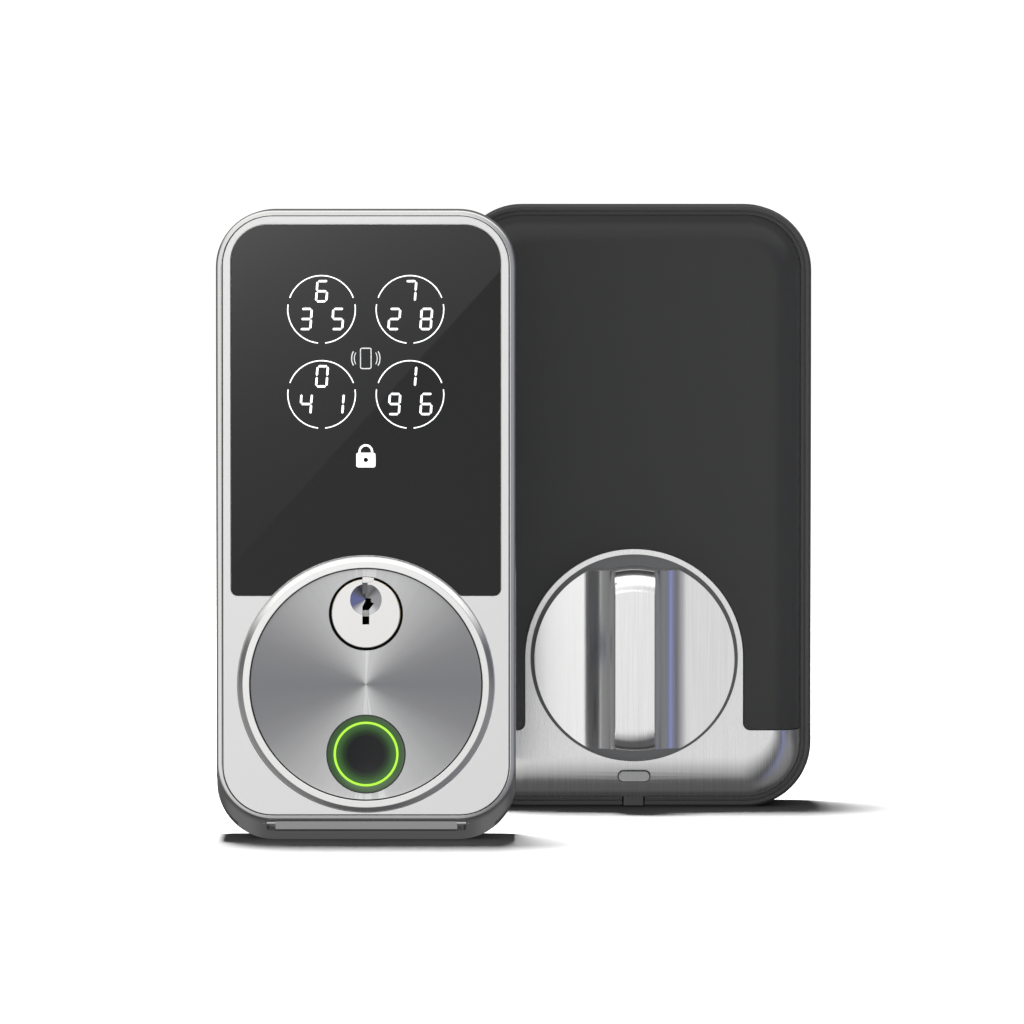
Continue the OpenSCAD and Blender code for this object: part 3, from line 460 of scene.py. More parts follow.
_ln.new(_m2.outputs["Result"], _nd["Principled BSDF"].inputs["Base Color"])
_b = _nd.new("ShaderNodeBump")
_b.inputs["Strength"].default_value = 0.10
_b.inputs["Distance"].default_value = 0.00003
_ln.new(_no.outputs["Fac"], _b.inputs["Height"])
_ln.new(_b.outputs[0], _nd["Principled BSDF"].inputs["Normal"])
M["brushed_dial"] = dm
PAINTED_GLOW_GREEN = (0.32, 1.0, 0.20)
# painted light: the green ring's glow is painted as emission on the lens inside the ring and on the black bezel outside
# it
painted_ring_glow(M["sensor_glass"], XE, ZF, [(0, 0.0), (4.3, 0.0), (5.4, 0.035), (6.3, 0.10), (7.1, 0.14)], PAINTED_GLOW_GREEN)
painted_ring_glow(M["sensor_black"], XE, ZF, [(7.7, 0.14), (8.4, 0.10), (8.95, 0.085), (9.2, 0.05), (9.3, 0.0)], (0.38, 1.0, 0.26))

# every CAD node gets its slot's material, also the ones that a piece replaces below
slot_of = {s["node"]: s["material_slot"] for s in frame["record"]["subparts"]}
for n, ob in NODES.items():
    ob.data.materials.clear()
    ob.data.materials.append(M[slot_of[n]])


def piece(ob, body, nodes, slot, material=None):
    if not ob.data.materials:
        ob.data.materials.append(M[material or slot])
    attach(ob, body)
    if nodes:
        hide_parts(*nodes)
    return ob


# ------------------------------------------------------------------ outdoor unit
def case_ring(y, i, z0, n=16):
    """outline of the outdoor case at depth y, inset by i, lower edge z0"""
    return (y + EY, rr(XE - 36 + i, XE + 36 - i, z0, 151.7 - i * 0.96, 13.8 - i, 13.8 - i * 1.0, n))


def chin_z(y):
    return CHIN * (-34.5 - y) / 4.5 if y < -34.5 else 0.0


outer = [case_ring(-17.0, 0.25, 0.25), case_ring(-17.2, 0.06, 0.06), case_ring(-17.5, 0, 0), case_ring(-34.5, 0, 0)]
for y in (-35.6, -36.7, -37.8):
    outer.append(case_ring(y, 0, chin_z(y)))
outer.append(case_ring(-38.9, 0.0, 4.88))
for i, y, dz in ((0.02, -39.5, 5.0), (0.06, -39.9, 5.03), (0.13, -40.25, 5.10), (0.24, -40.5, 5.20), (0.38, -40.66, 5.36), (0.55, -40.75, 5.55),
                 (1.20, -40.83, 5.98), (1.29, -40.88, 6.05), (1.38, -40.86, 6.12)):
    outer.append(case_ring(y, i, dz))
case = loft("outdoor_case", outer)
hollow = loft("t", [(-16.0 + EY, rr(XE - 33.8, XE + 33.8, 2.2, 149.5, 11.6, 11.6)), (-33.7 + EY, rr(XE - 33.8, XE + 33.8, 2.2, 149.5, 11.6, 11.6)),
                    (-37.4 + EY, rr(XE - 33.4, XE + 33.4, 7.6, 149.1, 11.2, 11.2))])
boolean(case, hollow)
boolean(case, prism("t", rr(XE - 34.55, XE + 34.55, 6.15, 150.3, 12.1), -45 + EY, -39.4 + EY))
boolean(case, turn("t", XE, ZS, [(0, -42 + EY), (29.3, -42 + EY), (29.3, -36.6 + EY), (0, -36.6 + EY)], 96))
boolean(case, prism("t", rr(XE - 28.5, XE + 28.5, 74, 143, 3), -42 + EY, -36 + EY))


def chin_frame(pts):
    """local x along the slot, y down the slope, z outward, from the middle of the port slot"""
    a = math.atan2(CHIN, 4.5)
    d = Vector((0, math.cos(a), -math.sin(a)))
    o = Vector((0, -math.sin(a), -math.cos(a)))
    c = Vector((XE, -39 + 4.5 * (CHIN - 3.3) / CHIN + EY, 3.3))
    return [tuple(c + Vector((x, 0, 0)) + d * y + o * z) for x, y, z in pts]


def chin_prism(name, loop, z0, z1):
    n = len(loop)
    v = chin_frame([(x, y, z0) for x, y in loop] + [(x, y, z1) for x, y in loop])
    f = [tuple(range(n)), tuple(reversed(range(n, 2 * n)))] + [(k, (k + 1) % n, n + (k + 1) % n, n + k) for k in range(n)]
    return new_obj(name, v, f)


boolean(case, chin_prism("t", rr(-24, 24, -1.7, 1.5, 0.7, 0.7, 6), -2.2, 2))
soften(case, 0.07, 2, 40, 38)
piece(case, "exterior_unit", ["exterior_case"], "case_metal")

fl = new_obj("port_flap_bar", *(lambda prof: (
    chin_frame([(x, y, z) for x in (-21.9, -21.75, 21.75, 21.9) for y, z in [(py * (0.93 if abs(x) > 21.8 else 1), pz) for py, pz in prof]]),
    [tuple(range(len(prof)))] + [tuple(reversed(range(3 * len(prof), 4 * len(prof))))] +
    [(i * len(prof) + k, i * len(prof) + (k + 1) % len(prof), (i + 1) * len(prof) + (k + 1) % len(prof), (i + 1) * len(prof) + k)
     for i in range(3) for k in range(len(prof))]))(
    [(-0.65, -1.2), (-1.0, -1.1), (-1.15, -0.95), (-1.16, -0.85), (-1.1, -0.80), (-1.0, -0.77), (0.98, -0.04), (1.08, -0.02), (1.18, -0.08), (1.25, -0.25), (1.25, -1.1), (1.15, -1.2)]))
soften(fl, 0, smooth=40)
pins = []
for s in (-1, 1):
    ring = [(-0.65 + 0.5 * math.cos(math.radians(a)), -0.6 + 0.5 * math.sin(math.radians(a))) for a in range(0, 360, 18)]
    v = chin_frame([(s * x, y, z) for x in (21.8, 24.8) for y, z in ring])
    n = len(ring)
    pins.append(new_obj("p", v, [tuple(range(n)), tuple(reversed(range(n, 2 * n)))] + [(k, (k + 1) % n, n + (k + 1) % n, n + k) for k in range(n)]))
pin = soften(join(pins, "port_flap_pins"), 0, smooth=40)
piece(fl, "flap", ["port_flap"], "case_metal", "flap_metal")
piece(pin, "flap", [], "case_metal", "flap_metal")


def glass_loop(g=0.0, arch=31.4):
    """touch glass outline with the arch over the dial ring"""
    x0, x1, z0, z1 = XE - 32.35 - g, XE + 32.35 + g, 59.1 - g, 148.1 + g
    r = arch - g
    pts = []
    for cx, cz, rad, a0 in ((x1 - 8.9 - g, z1 - 8.9 - g, 8.9 + g, 0), (x0 + 8.9 + g, z1 - 8.9 - g, 8.9 + g, 90)):
        for k in range(21):
            a = math.radians(a0 + 90 * k / 20)
            pts.append((cx + rad * math.cos(a), cz + rad * math.sin(a)))
    rb = 1.6 + g
    for k in range(9):
        a = math.radians(180 + 90 * k / 8)
        pts.append((x0 + rb + rb * math.cos(a), z0 + rb + rb * math.sin(a)))
    # where the lower edge meets the arch the corner is rounded by f
    f = 0.9
    h = z0 - ZS
    xf = math.sqrt((r + f) ** 2 - (h + f) ** 2)
    t = math.atan2(h + f, xf)
    left = []
    for k in range(7):
        a = -math.pi / 2 + (math.pi / 2 - t) * k / 6
        left.append((XE - xf + f * math.cos(a), z0 + f + f * math.sin(a)))
    pts += left
    for k in range(1, 96):
        a = (math.pi - t) + (2 * t - math.pi) * k / 96
        pts.append((XE + r * math.cos(a), ZS + r * math.sin(a)))
    pts += [(2 * XE - x, z) for x, z in reversed(left)]
    for k in range(9):
        a = math.radians(270 + 90 * k / 8)
        pts.append((x1 - rb + rb * math.cos(a), z0 + rb + rb * math.sin(a)))
    return pts


def face_loops():
    outline = rr(XE - 34.3, XE + 34.3, 6.4, 150.1, 11.85, None, 20)
    hole = glass_loop(0.1)
    return outline, hole


# the face plate: one opening for the glass and one for the ring, with the thin bridge of the arch between them left out,
# as the glass and the ring meet there
outline, hole = face_loops()
big = []
h = 59.1 - 0.1 - ZS
xa = math.sqrt(30.9 ** 2 - h ** 2)
a0 = math.degrees(math.atan2(h, xa))
for x, z in hole:
    if (x - XE) ** 2 + (z - ZS) ** 2 > 32.4 ** 2 or z > 59.1 + 12:
        big.append((x, z))
top_arc = [p for p in big if p[1] > 80]
lower_left = [(XE - 32.45, 60.6 + 0.0)]
loop = []
for cx, cz, rad, s0 in ((XE + 32.45 - 9.0, 148.2 - 9.0, 9.0, 0), (XE - 32.45 + 9.0, 148.2 - 9.0, 9.0, 90)):
    for k in range(21):
        a = math.radians(s0 + 90 * k / 20)
        loop.append((cx + rad * math.cos(a), cz + rad * math.sin(a)))
for k in range(9):
    a = math.radians(180 + 90 * k / 8)
    loop.append((XE - 32.45 + 1.7 + 1.7 * math.cos(a), 59.0 + 1.7 + 1.7 * math.sin(a)))
for k in range(0, 181):
    a = math.radians(180 - a0 + (180 + 2 * a0) * k / 180)
    loop.append((XE + 30.9 * math.cos(a), ZS + 30.9 * math.sin(a)))
for k in range(9):
    a = math.radians(270 + 90 * k / 8)
    loop.append((XE + 32.45 - 1.7 + 1.7 * math.cos(a), 59.0 + 1.7 + 1.7 * math.sin(a)))
face = plate("front_face_plate", [outline, loop], -41 + EY, -39.4 + EY, 0.10)
piece(face, "exterior_unit", ["face_plate"], "face_metal")
glass = plate("touch_panel_glass", [glass_loop(0.0, 30.98)], -41.1 + EY, -39.45 + EY, 0.12, 3)
piece(glass, "exterior_unit", ["touch_glass"], "black_glass")

ring = turn("dial_bezel_ring", XE, ZS, [(r, y + EY) for r, y in (
    (28.0, -42.42), (28.08, -42.5), (28.16, -42.5), (29.45, -42.5), (29.55, -42.5), (29.68, -42.45), (30.68, -41.44), (30.8, -41.22), (30.8, -39.4), (29.2, -39.4), (29.2, -38.4),
    (26.5, -38.4), (26.5, -40.45), (28.0, -40.45))], 192)
piece(soften(ring, 0, smooth=35), "exterior_unit", ["dial_ring"], "ring_metal")
dial = plate("brushed_dial_plate", [circle(XE, ZS, 27.7, 192), circle(XE, ZP, 8.88, 96), circle(XE, ZF, 9.5, 96)], -41.9 + EY, -40.45 + EY, 0.07)
piece(dial, "exterior_unit", ["dial_plate"], "brushed_dial")
# painted shade: a thin black ring in the gap between the bezel ring and the dial stands in for the shade in that gap
dial_gap_shade = turn("dial_gap_shade_ring", XE, ZS, [(r, y + EY) for r, y in ((27.72, -41.84), (27.99, -41.84), (27.99, -40.5), (27.72, -40.5))], 160)
piece(soften(dial_gap_shade), "exterior_unit", [], "rubber_black")
# painted shade: a thin black band between the case rim and the face plate stands in for the shade in that parting line
fs = loft("face_gap_shade_band", [(y + EY, rr(XE - 36 + 1.46, XE + 36 - 1.46, 6.16, 150.29, 12.09)) for y in (-40.72, -39.42)])
boolean(fs, prism("t", rr(XE - 34.29, XE + 34.29, 6.41, 150.09, 11.84), -42 + EY, -38 + EY))
piece(soften(fs), "exterior_unit", [], "rubber_black")
# painted shade: a near-black disc behind the dial shows in the ring gap round the key plug, standing in for the shade
# in that gap
gap = turn("plug_gap_shade_disc", XE, ZS, [(r, y + EY) for r, y in ((0, -40.44), (27.9, -40.44), (27.9, -40.42), (0, -40.42))], 96)
boolean(gap, turn("t", XE, ZP, [(r, y + EY) for r, y in ((0, -41), (8.25, -41), (8.25, -40), (0, -40))], 64))
boolean(gap, turn("t", XE, ZF, [(r, y + EY) for r, y in ((0, -41), (9.5, -41), (9.5, -40), (0, -40))], 64))
piece(soften(gap), "exterior_unit", [], "dark_steel", "shade_and_print_black")

# key plug with its dish, stepped keyway and wards
plug = turn("key_plug_face", XE, ZP, [(r, y + EY) for r, y in (
    (0, -41.9), (8.08, -41.9), (8.2, -41.8), (8.2, -40.5), (6.35, -40.46), (6.35, -24.25), (4, -24.25), (4, -19.75), (3.2, -19.75), (3.2, -19.5), (0, -19.5))], 128)
boolean(plug, turn("t", XE, ZP + 3.35, [(r, y + EY) for r, y in ((0, -43), (4.35, -43), (3.8, -41.9), (0.25, -40.15), (0, -40.12))], 96))


def zx(pts):
    return [(XE + x, ZP + z) for x, z in pts]


boolean(plug, prism("t", zx([(-0.85, -2.6), (0.8, -2.6), (0.8, -0.72), (-0.85, -0.72)]), -43 + EY, -26 + EY))
boolean(plug, prism("t", zx([(-0.85, -0.75), (0.8, -0.75), (0.8, 0.8), (-0.85, 0.8)]), -43 + EY, -40.9 + EY))
boolean(plug, prism("t", zx([(-0.85, 0.78), (0.66, 0.78), (0.8, 1.0), (1.95, 2.45), (1.2, 2.5), (1.2, 3.62), (0, 3.62), (0.05, 2.3), (-0.85, 1.75)]), -43 + EY, -26 + EY))
boolean(plug, prism("t", zx([(-0.86, 3.5), (0.4, 3.5), (0.4, 7.6), (-0.86, 7.6)]), -43 + EY, -40.75 + EY))
boolean(plug, prism("t", zx([(-0.85, 6.95), (1.3, 6.95), (2.0, 7.6), (2.0, 9.5), (-0.85, 9.5)]), -43 + EY, -41.25 + EY))
tidy(plug)
soften(plug, 0.03, 1, 45, 14)
plug.data.materials.append(M["plug_metal"])
plug.data.materials.append(M["shade_and_print_black"])
plug.data.materials.append(M["ward_grey"])
plug.data.materials.append(M["dish_metal"])
plug.data.materials.append(M["recess_shade_grey"])
# painted shade: the deep faces of the keyway take a near-black, and the channel floor above it a dark grey, standing in
# for the shade inside the slot
for p in plug.data.polygons:
    c = p.center / MM
    x, y, z = c.x - XE, c.y - EY, c.z - ZP
    if abs(x) < 2.1 and y > -41.2 and y < -26.2 + 1 and z > -2.75 and z < 3.75 and math.hypot(x, z) < 6.2:
        deep = y > -40.85
        if deep:
            p.material_index = 1
        elif abs(p.normal.y) > 0.9 and -0.8 < z < 0.85:
            p.material_index = 2
    if math.hypot(x, z - 3.35) < 3.82 and -41.86 < y < -40.1 and 0.2 < abs(p.normal.y) < 0.97 and p.material_index == 0:
        p.material_index = 3
    # painted shade on the channel floor
    if abs(x) < 0.9 and 3.5 < z < 7.6 and -40.8 < y < -40.7 and abs(p.normal.y) > 0.9:
        p.material_index = 4
piece(plug, "plug", ["key_plug"], "plug_metal")
tab = prism("plug_tab", zx([(-0.82, 7.42), (1.25, 7.42), (1.95, 8.1), (1.95, 8.55), (0.9, 8.76), (0, 8.8), (-0.82, 8.76)]), -41.98 + EY, -41.1 + EY)
piece(soften(tab, 0.06, 2), "plug", [], "plug_metal")

bez = turn("sensor_bezel", XE, ZF, [(r, y + EY) for r, y in (
    (7.79, -41.4), (7.95, -41.53), (9.2, -41.86), (9.4, -41.8), (9.45, -41.65), (9.45, -36.4), (8.2, -36.4), (8.2, -38.2), (5.5, -38.2), (5.5, -39.3), (7.79, -39.3))], 160)
piece(soften(bez, 0, smooth=40), "exterior_unit", ["sensor_housing"], "sensor_black")
lr = turn("sensor_glow_ring", XE, ZF, [(r, y + EY) for r, y in ((7.27, -41.42), (7.33, -41.5), (7.71, -41.5), (7.77, -41.42), (7.77, -39.3), (7.27, -39.3))], 160)
piece(soften(lr, 0, smooth=40), "exterior_unit", ["sensor_light_ring"], "sensor_green")
lens = turn("sensor_touch_lens", XE, ZF, [(r, y + EY) for r, y in ((0, -41.0), (1.8, -41.01), (3.6, -41.06), (5.2, -41.16), (6.4, -41.29), (7.1, -41.4), (7.24, -41.38), (7.24, -39.3), (0, -39.3))], 128)
piece(soften(lens, 0, smooth=30), "exterior_unit", ["sensor_lens"], "sensor_glass")

# lit legends on the glass
YG = -41.1 + EY
leg_v, leg_f = [], []


def flat(pts):
    """a thin raised patch on the glass, outline counter-clockwise"""
    b = len(leg_v)
    n = len(pts)
    leg_v.extend([(x, YG - 0.035, z) for x, z in pts] + [(x, YG + 0.01, z) for x, z in pts])
    leg_f.append(tuple(range(b, b + n)))
    leg_f.append(tuple(reversed(range(b + n, b + 2 * n))))
    for k in range(n):
        leg_f.append((b + k, b + (k + 1) % n, b + n + (k + 1) % n, b + n + k))


def arc(cx, cz, r, w, a0, a1, n=48):
    p = [(cx + (r + w / 2) * math.cos(math.radians(a0 + (a1 - a0) * k / n)), cz + (r + w / 2) * math.sin(math.radians(a0 + (a1 - a0) * k / n))) for k in range(n + 1)]
    q = [(cx + (r - w / 2) * math.cos(math.radians(a0 + (a1 - a0) * k / n)), cz + (r - w / 2) * math.sin(math.radians(a0 + (a1 - a0) * k / n))) for k in range(n + 1)]
    b = len(leg_v)
    m = n + 1
    leg_v.extend([(x, YG - 0.035, z) for x, z in p + q] + [(x, YG + 0.01, z) for x, z in p + q])
    for k in range(n):
        leg_f.append((b + k, b + k + 1, b + m + k + 1, b + m + k))
        leg_f.append((b + 2 * m + k, b + 3 * m + k, b + 3 * m + k + 1, b + 2 * m + k + 1))
        leg_f.append((b + k, b + 2 * m + k, b + 2 * m + k + 1, b + k + 1))
        leg_f.append((b + m + k, b + m + k + 1, b + 3 * m + k + 1, b + 3 * m + k))
    for k in (0, n):
        leg_f.append((b + k, b + m + k, b + 3 * m + k, b + 2 * m + k))


LIT = {0: "abcdef", 1: "bc", 2: "abged", 3: "abgcd", 4: "fgbc", 5: "afgcd", 6: "afgecd", 7: "abc", 8: "abcdefg", 9: "abcdfg"}
HW, HH, SW, SL, GP = 1.24, 2.42, 0.265, 0.075, 0.11     # half width, half height, half stroke, slant, gap


def digit(cx, cz, d):
    seg = {"a": ((-HW, HH), (HW, HH)), "g": ((-HW, 0), (HW, 0)), "d": ((-HW, -HH), (HW, -HH)),
           "f": ((-HW, 0), (-HW, HH)), "b": ((HW, 0), (HW, HH)), "e": ((-HW, -HH), (-HW, 0)), "c": ((HW, -HH), (HW, 0))}
    for s in LIT[d]:
        (xa_, za_), (xb_, zb_) = seg[s]
        if s in "agd":
            xs, xe_ = xa_ + GP, xb_ - GP
            pts = [(xs, za_), (xs + SW, za_ - SW), (xe_ - SW, za_ - SW), (xe_, za_), (xe_ - SW, za_ + SW), (xs + SW, za_ + SW)]
        else:
            zs_, ze_ = za_ + GP, zb_ - GP
            pts = [(xa_, zs_), (xa_ + SW, zs_ + SW), (xa_ + SW, ze_ - SW), (xa_, ze_), (xa_ - SW, ze_ - SW), (xa_ - SW, zs_ + SW)]
        flat([(cx + x + z * SL, cz + z) for x, z in pts])


for zc, row in ((127.8, ((-10.6, (6, 3, 5)), (10.6, (7, 2, 8)))), (107.4, ((-10.6, (0, 4, 1)), (10.6, (1, 9, 6))))):
    for xc, ds in row:
        for a, b in ((20, 160), (171.5, 264), (276, 368.5)):
            arc(XE + xc, zc, 8.1, 0.27, a, b)
        for (ox, oz), d in zip(((0.1, 4.35), (-3.75, -2.3), (3.9, -2.3)), ds):
            digit(XE + xc + ox, zc + oz, d)
lg = new_obj("key_legends_lit", leg_v, leg_f)
piece(lg, "exterior_unit", ["key_legends"], "legend_white")
leg_v, leg_f = [], []
# handset mark with waves, then a padlock mark
for x0, x1, z0, z1 in ((-1.38, -1.16, 114.0, 118.1), (1.16, 1.38, 114.0, 118.1), (-0.95, 0.95, 113.48, 113.74), (-0.95, 0.95, 118.36, 118.62)):
    flat([(XE + x0, z0), (XE + x1, z0), (XE + x1, z1), (XE + x0, z1)])
for cx, cz, a in ((0.87, 118.11, 0), (-0.87, 118.11, 90), (-0.87, 113.99, 180), (0.87, 113.99, 270)):
    arc(XE + cx, cz, 0.39, 0.24, a, a + 90, 8)
for r, w in ((2.75, 0.2), (3.4, 0.26)):
    for a in (0, 180):
        arc(XE, 116.05, r, w, a - 30, a + 30, 14)
lm = new_obj("handset_mark", leg_v, leg_f)
piece(lm, "exterior_unit", [], "legend_white", "legend_grey")
leg_v, leg_f = [], []
body = rr(XE - 2.3, XE + 2.3, 89.9, 93.4, 0.5, None, 5)
flat(body[:6] + body[6:])
for s in (-1, 1):
    flat([(XE + s * 1.5 - 0.25, 93.4), (XE + s * 1.5 + 0.25, 93.4), (XE + s * 1.5 + 0.25, 93.7), (XE + s * 1.5 - 0.25, 93.7)])
arc(XE, 93.7, 1.5, 0.5, 0, 180, 20)
pk = new_obj("padlock_mark", leg_v, leg_f)
piece(pk, "exterior_unit", [], "legend_white")
leg_v, leg_f = [], []
YG -= 0.03
flat(circle(XE, 91.7, 0.55, 24))
pd = new_obj("padlock_dot", leg_v, leg_f)
piece(pd, "exterior_unit", [], "legend_white", "shade_and_print_black")


# ------------------------------------------------------------------ indoor unit
HX0, HX1 = XI - 44.75, XI + 44.75


def in_ring(y, i, n=18):
    return (y + IY, rr(HX0 + i, HX1 - i, i, 152 - i, 16.5 - i, None, n))


hs = loft("indoor_housing", [in_ring(40.5, 0.2), in_ring(40.3, 0), in_ring(19.3, 0), in_ring(18.95, 0.06), in_ring(18.7, 0.22), in_ring(18.55, 0.45), in_ring(18.5, 0.7)])
boolean(hs, prism("t", rr(HX0 + 2.6, HX1 - 2.6, 2.6, 149.4, 13.9, None, 18), 10 + IY, 38.5 + IY))
groove = prism("t", rr(HX0 + 1.45, HX1 - 1.45, 1.45, 150.55, 15.05, None, 18), 17 + IY, 19.3 + IY)
boolean(groove, prism("t2", rr(HX0 + 1.95, HX1 - 1.95, 1.95, 150.05, 14.55, None, 18), 16 + IY, 20 + IY))
boolean(hs, groove)
for cut in (circle(XI, ZI, 9, 64), circle(XI, ZI + 18, 6, 48), circle(XI - 19, ZI, 5.5, 48), circle(XI + 19, ZI, 5.5, 48),
            circle(XI - 30, 16, 1.6, 24), circle(XI + 30, 16, 1.6, 24), circle(XI, 141, 1.6, 24)):
    boolean(hs, prism("t", cut, 37 + IY, 42 + IY))
boolean(hs, prism("t", [(XI - 2.85, -1), (XI + 2.85, -1), (XI + 2.85, 3), (XI - 2.85, 3)], 17 + IY, 25.7 + IY))
posts = [turn("t", XI + s * 29, z, [(0, 34.6 + IY), (2.5, 34.6 + IY), (2.5, 38.7 + IY), (0, 38.7 + IY)], 32) for s in (-1, 1) for z in (76, 134)]
for p in posts:
    boolean(hs, p, "UNION")
soften(hs, 0.09, 2, 40, 38)
piece(hs, "interior_unit", ["rear_housing"], "housing_dark")

lt = loft("cover_release_latch", [(y + IY, rr(XI - 2.65 + i, XI + 2.65 - i, 0.12 + i, 4.4 - i, 0.35, None, 5)) for y, i in ((25.5, 0), (19.0, 0), (18.75, 0.08), (18.62, 0.25))])
boolean(lt, prism("t", [(XI - 4.5, 2.9), (XI + 4.5, 2.9), (XI + 4.5, 3.8), (XI - 4.5, 3.8)], 19 + IY, 25 + IY), "UNION")
piece(soften(lt, 0, smooth=35), "latch", ["cover_latch"], "housing_dark", "latch_dark")


def soft_rings(hw, z0, z1, r, yf, yb, ew, ed, n=16, steps=14, e=0.94, kz=1.0):
    out = [(yb + IY, rr(XI - hw, XI + hw, z0, z1, r, None, n))]
    for s in range(steps + 1):
        a = math.radians(90 * s / steps)
        i = ew * (1 - math.cos(a) ** e)
        y = yf + ed * (1 - math.sin(a))
        out.append((y + IY, rr(XI - hw + i, XI + hw - i, z0 + i * kz, z1 - i, max(r - i * 0.75, 3.0), None, n)))
    return out


AR, WELL = 27.5, 26.05


def split_line(g, z_out, top=False, n=72):
    """the boundary between cover and escutcheon, pushed in by g: only the left quarter fillet is drawn"""
    r, f, zb = AR - g, 1.8 + g, 20.15 - g
    pts = []
    for k in range(9):
        a = math.radians(90 - 90 * k / 8)
        pts.append((XI - r - f + f * math.cos(a), zb - f + f * math.sin(a) + 0))
    return pts


def tongue_loop(g):
    """region of the escutcheon: band below plus tongue with the arch, inset by g"""
    r, zb = AR - g, 20.15 - g
    f = 1.8 + g * 0.5
    pts = [(XI - 60, -5), (XI + 60, -5), (XI + 60, zb)]
    for k in range(9):
        a = math.radians(270 - 90 * k / 8)
        pts.append((XI + r + f + f * math.cos(a), zb + f + f * math.sin(a)))
    for k in range(97):
        a = math.radians(180 * k / 96)
        pts.append((XI + r * math.cos(a), ZI + r * math.sin(a)))
    for k in range(9):
        a = math.radians(0 - 90 * k / 8)
        pts.append((XI - r - f + f * math.cos(a), zb + f + f * math.sin(a)))
    pts.append((XI - 60, zb))
    return pts


cov = loft("battery_cover_shell", soft_rings(42.1, -6, 149.35, 13.9, 7.2, 18.5, 7, 10.5))
boolean(cov, loft("t", soft_rings(40.3, -10, 147.55, 12.1, 9.0, 20, 6.5, 9.5)))
boolean(cov, prism("t", tongue_loop(0.0), 0 + IY, 30 + IY))
soften(cov, 0.22, 3, 42, 34)
piece(cov, "cover", ["battery_cover"], "cover_black")

esc = loft("turn_escutcheon", soft_rings(42.0, 2.75, 112, 13.8, 7.5, 18.45, 7, 9, kz=1.5))
boolean(esc, loft("t", soft_rings(40.4, 4.35, 110, 12.2, 9.1, 20, 7, 9, kz=1.5)))
boolean(esc, prism("t", tongue_loop(0.16), 0 + IY, 30 + IY), "INTERSECT")
pad = prism("t", circle(XI, ZI, AR - 0.2, 96), 8.6 + IY, 11.2 + IY)
boolean(esc, pad, "UNION")
boolean(esc, prism("t", [(XI - AR + 0.25, 19), (XI + AR - 0.25, 19), (XI + AR - 0.25, ZI), (XI - AR + 0.25, ZI)], 8.6 + IY, 11.2 + IY), "UNION")
boolean(esc, prism("t", circle(XI, ZI, WELL, 144), 0 + IY, 9.6 + IY))
boolean(esc, prism("t", circle(XI, ZI, 9, 64), 5 + IY, 14 + IY))
boolean(esc, prism("t", pill(XI, 8.4, 8.3, 3.05), 0 + IY, 14 + IY))
soften(esc, 0.12, 2, 42, 34)
esc.data.materials.append(M["escutcheon_metal"])
esc.data.materials.append(M["recess_shade_grey"])
# painted shade: the floor and wall of the knob's well take the dark grey metal, standing in for the shade in that
# recess
for p in esc.data.polygons:
    vs = [esc.data.vertices[v].co / MM for v in p.vertices]
    if all(math.hypot(v.x - XI, v.z - ZI) < WELL + 0.03 and 7.9 < v.y - IY < 9.75 for v in vs):
        p.material_index = 1
piece(esc, "interior_unit", ["escutcheon"], "escutcheon_metal")

# painted shade: a thin black pill ring round the mode key stands in for the shade in its gap
bs = prism("button_gap_shade_ring", pill(XI, 8.4, 8.28, 3.03), 8.6 + IY, 9.6 + IY)
boolean(bs, prism("t", pill(XI, 8.4, 7.94, 2.64), 8 + IY, 11 + IY))
piece(soften(bs), "interior_unit", [], "rubber_black")
btn = loft("mode_key", [(y + IY, pill(XI, 8.4, 7.9 - 2 * i, 2.6 - 2 * i)) for y, i in ((9.9, 0), (7.15, 0), (7.0, 0.05), (6.93, 0.18))])
fl2 = loft("t", [(y + IY, pill(XI, 8.4, 9.5, 2.9)) for y in (9.85, 10.0)])
boolean(btn, fl2, "UNION")
piece(soften(btn, 0, smooth=35), "button", ["mode_button"], "knob_metal", "button_grey")

# thumb turn: grip bar between two scoops, turned outline, flats across its two ends
YK, GH, AX, LY, FY = -7.5, 5.05, 8.6, 1.4, -5.0
DOME = [(r, y + IY) for r, y in (
    (0, -7.5), (16.7, -7.5), (17.2, -7.5), (18.4, -7.42), (19.6, -7.08), (20.6, -6.5), (21.4, -5.75), (22.0, -4.8), (22.45, -3.6), (22.75, -2.2), (22.88, -0.6),
    (22.9, 1.2), (22.9, 8.9), (0, 8.9))]


def knob_half():
    h = [(25.4, 9.2), (25.4, LY + 0.30), (GH + AX, LY)]
    for k in range(1, 28):
        a = math.radians(90 + 87 * k / 28)
        h.append((GH + AX + AX * math.cos(a), FY + (LY - FY) * math.sin(a)))
    h += [(GH - 0.15, FY), (GH - 0.4, 1.0)]
    return h


kh = knob_half()
sect = [(XI + x, y) for x, y in kh] + [(XI - x, y) for x, y in reversed(kh)]


def along_z(name, pts, z0, z1):
    n = len(pts)
    v = [(x, y + IY, z0) for x, y in pts] + [(x, y + IY, z1) for x, y in pts]
    f = [tuple(range(n)), tuple(reversed(range(n, 2 * n)))] + [(k, (k + 1) % n, n + (k + 1) % n, n + k) for k in range(n)]
    return new_obj(name, v, f)


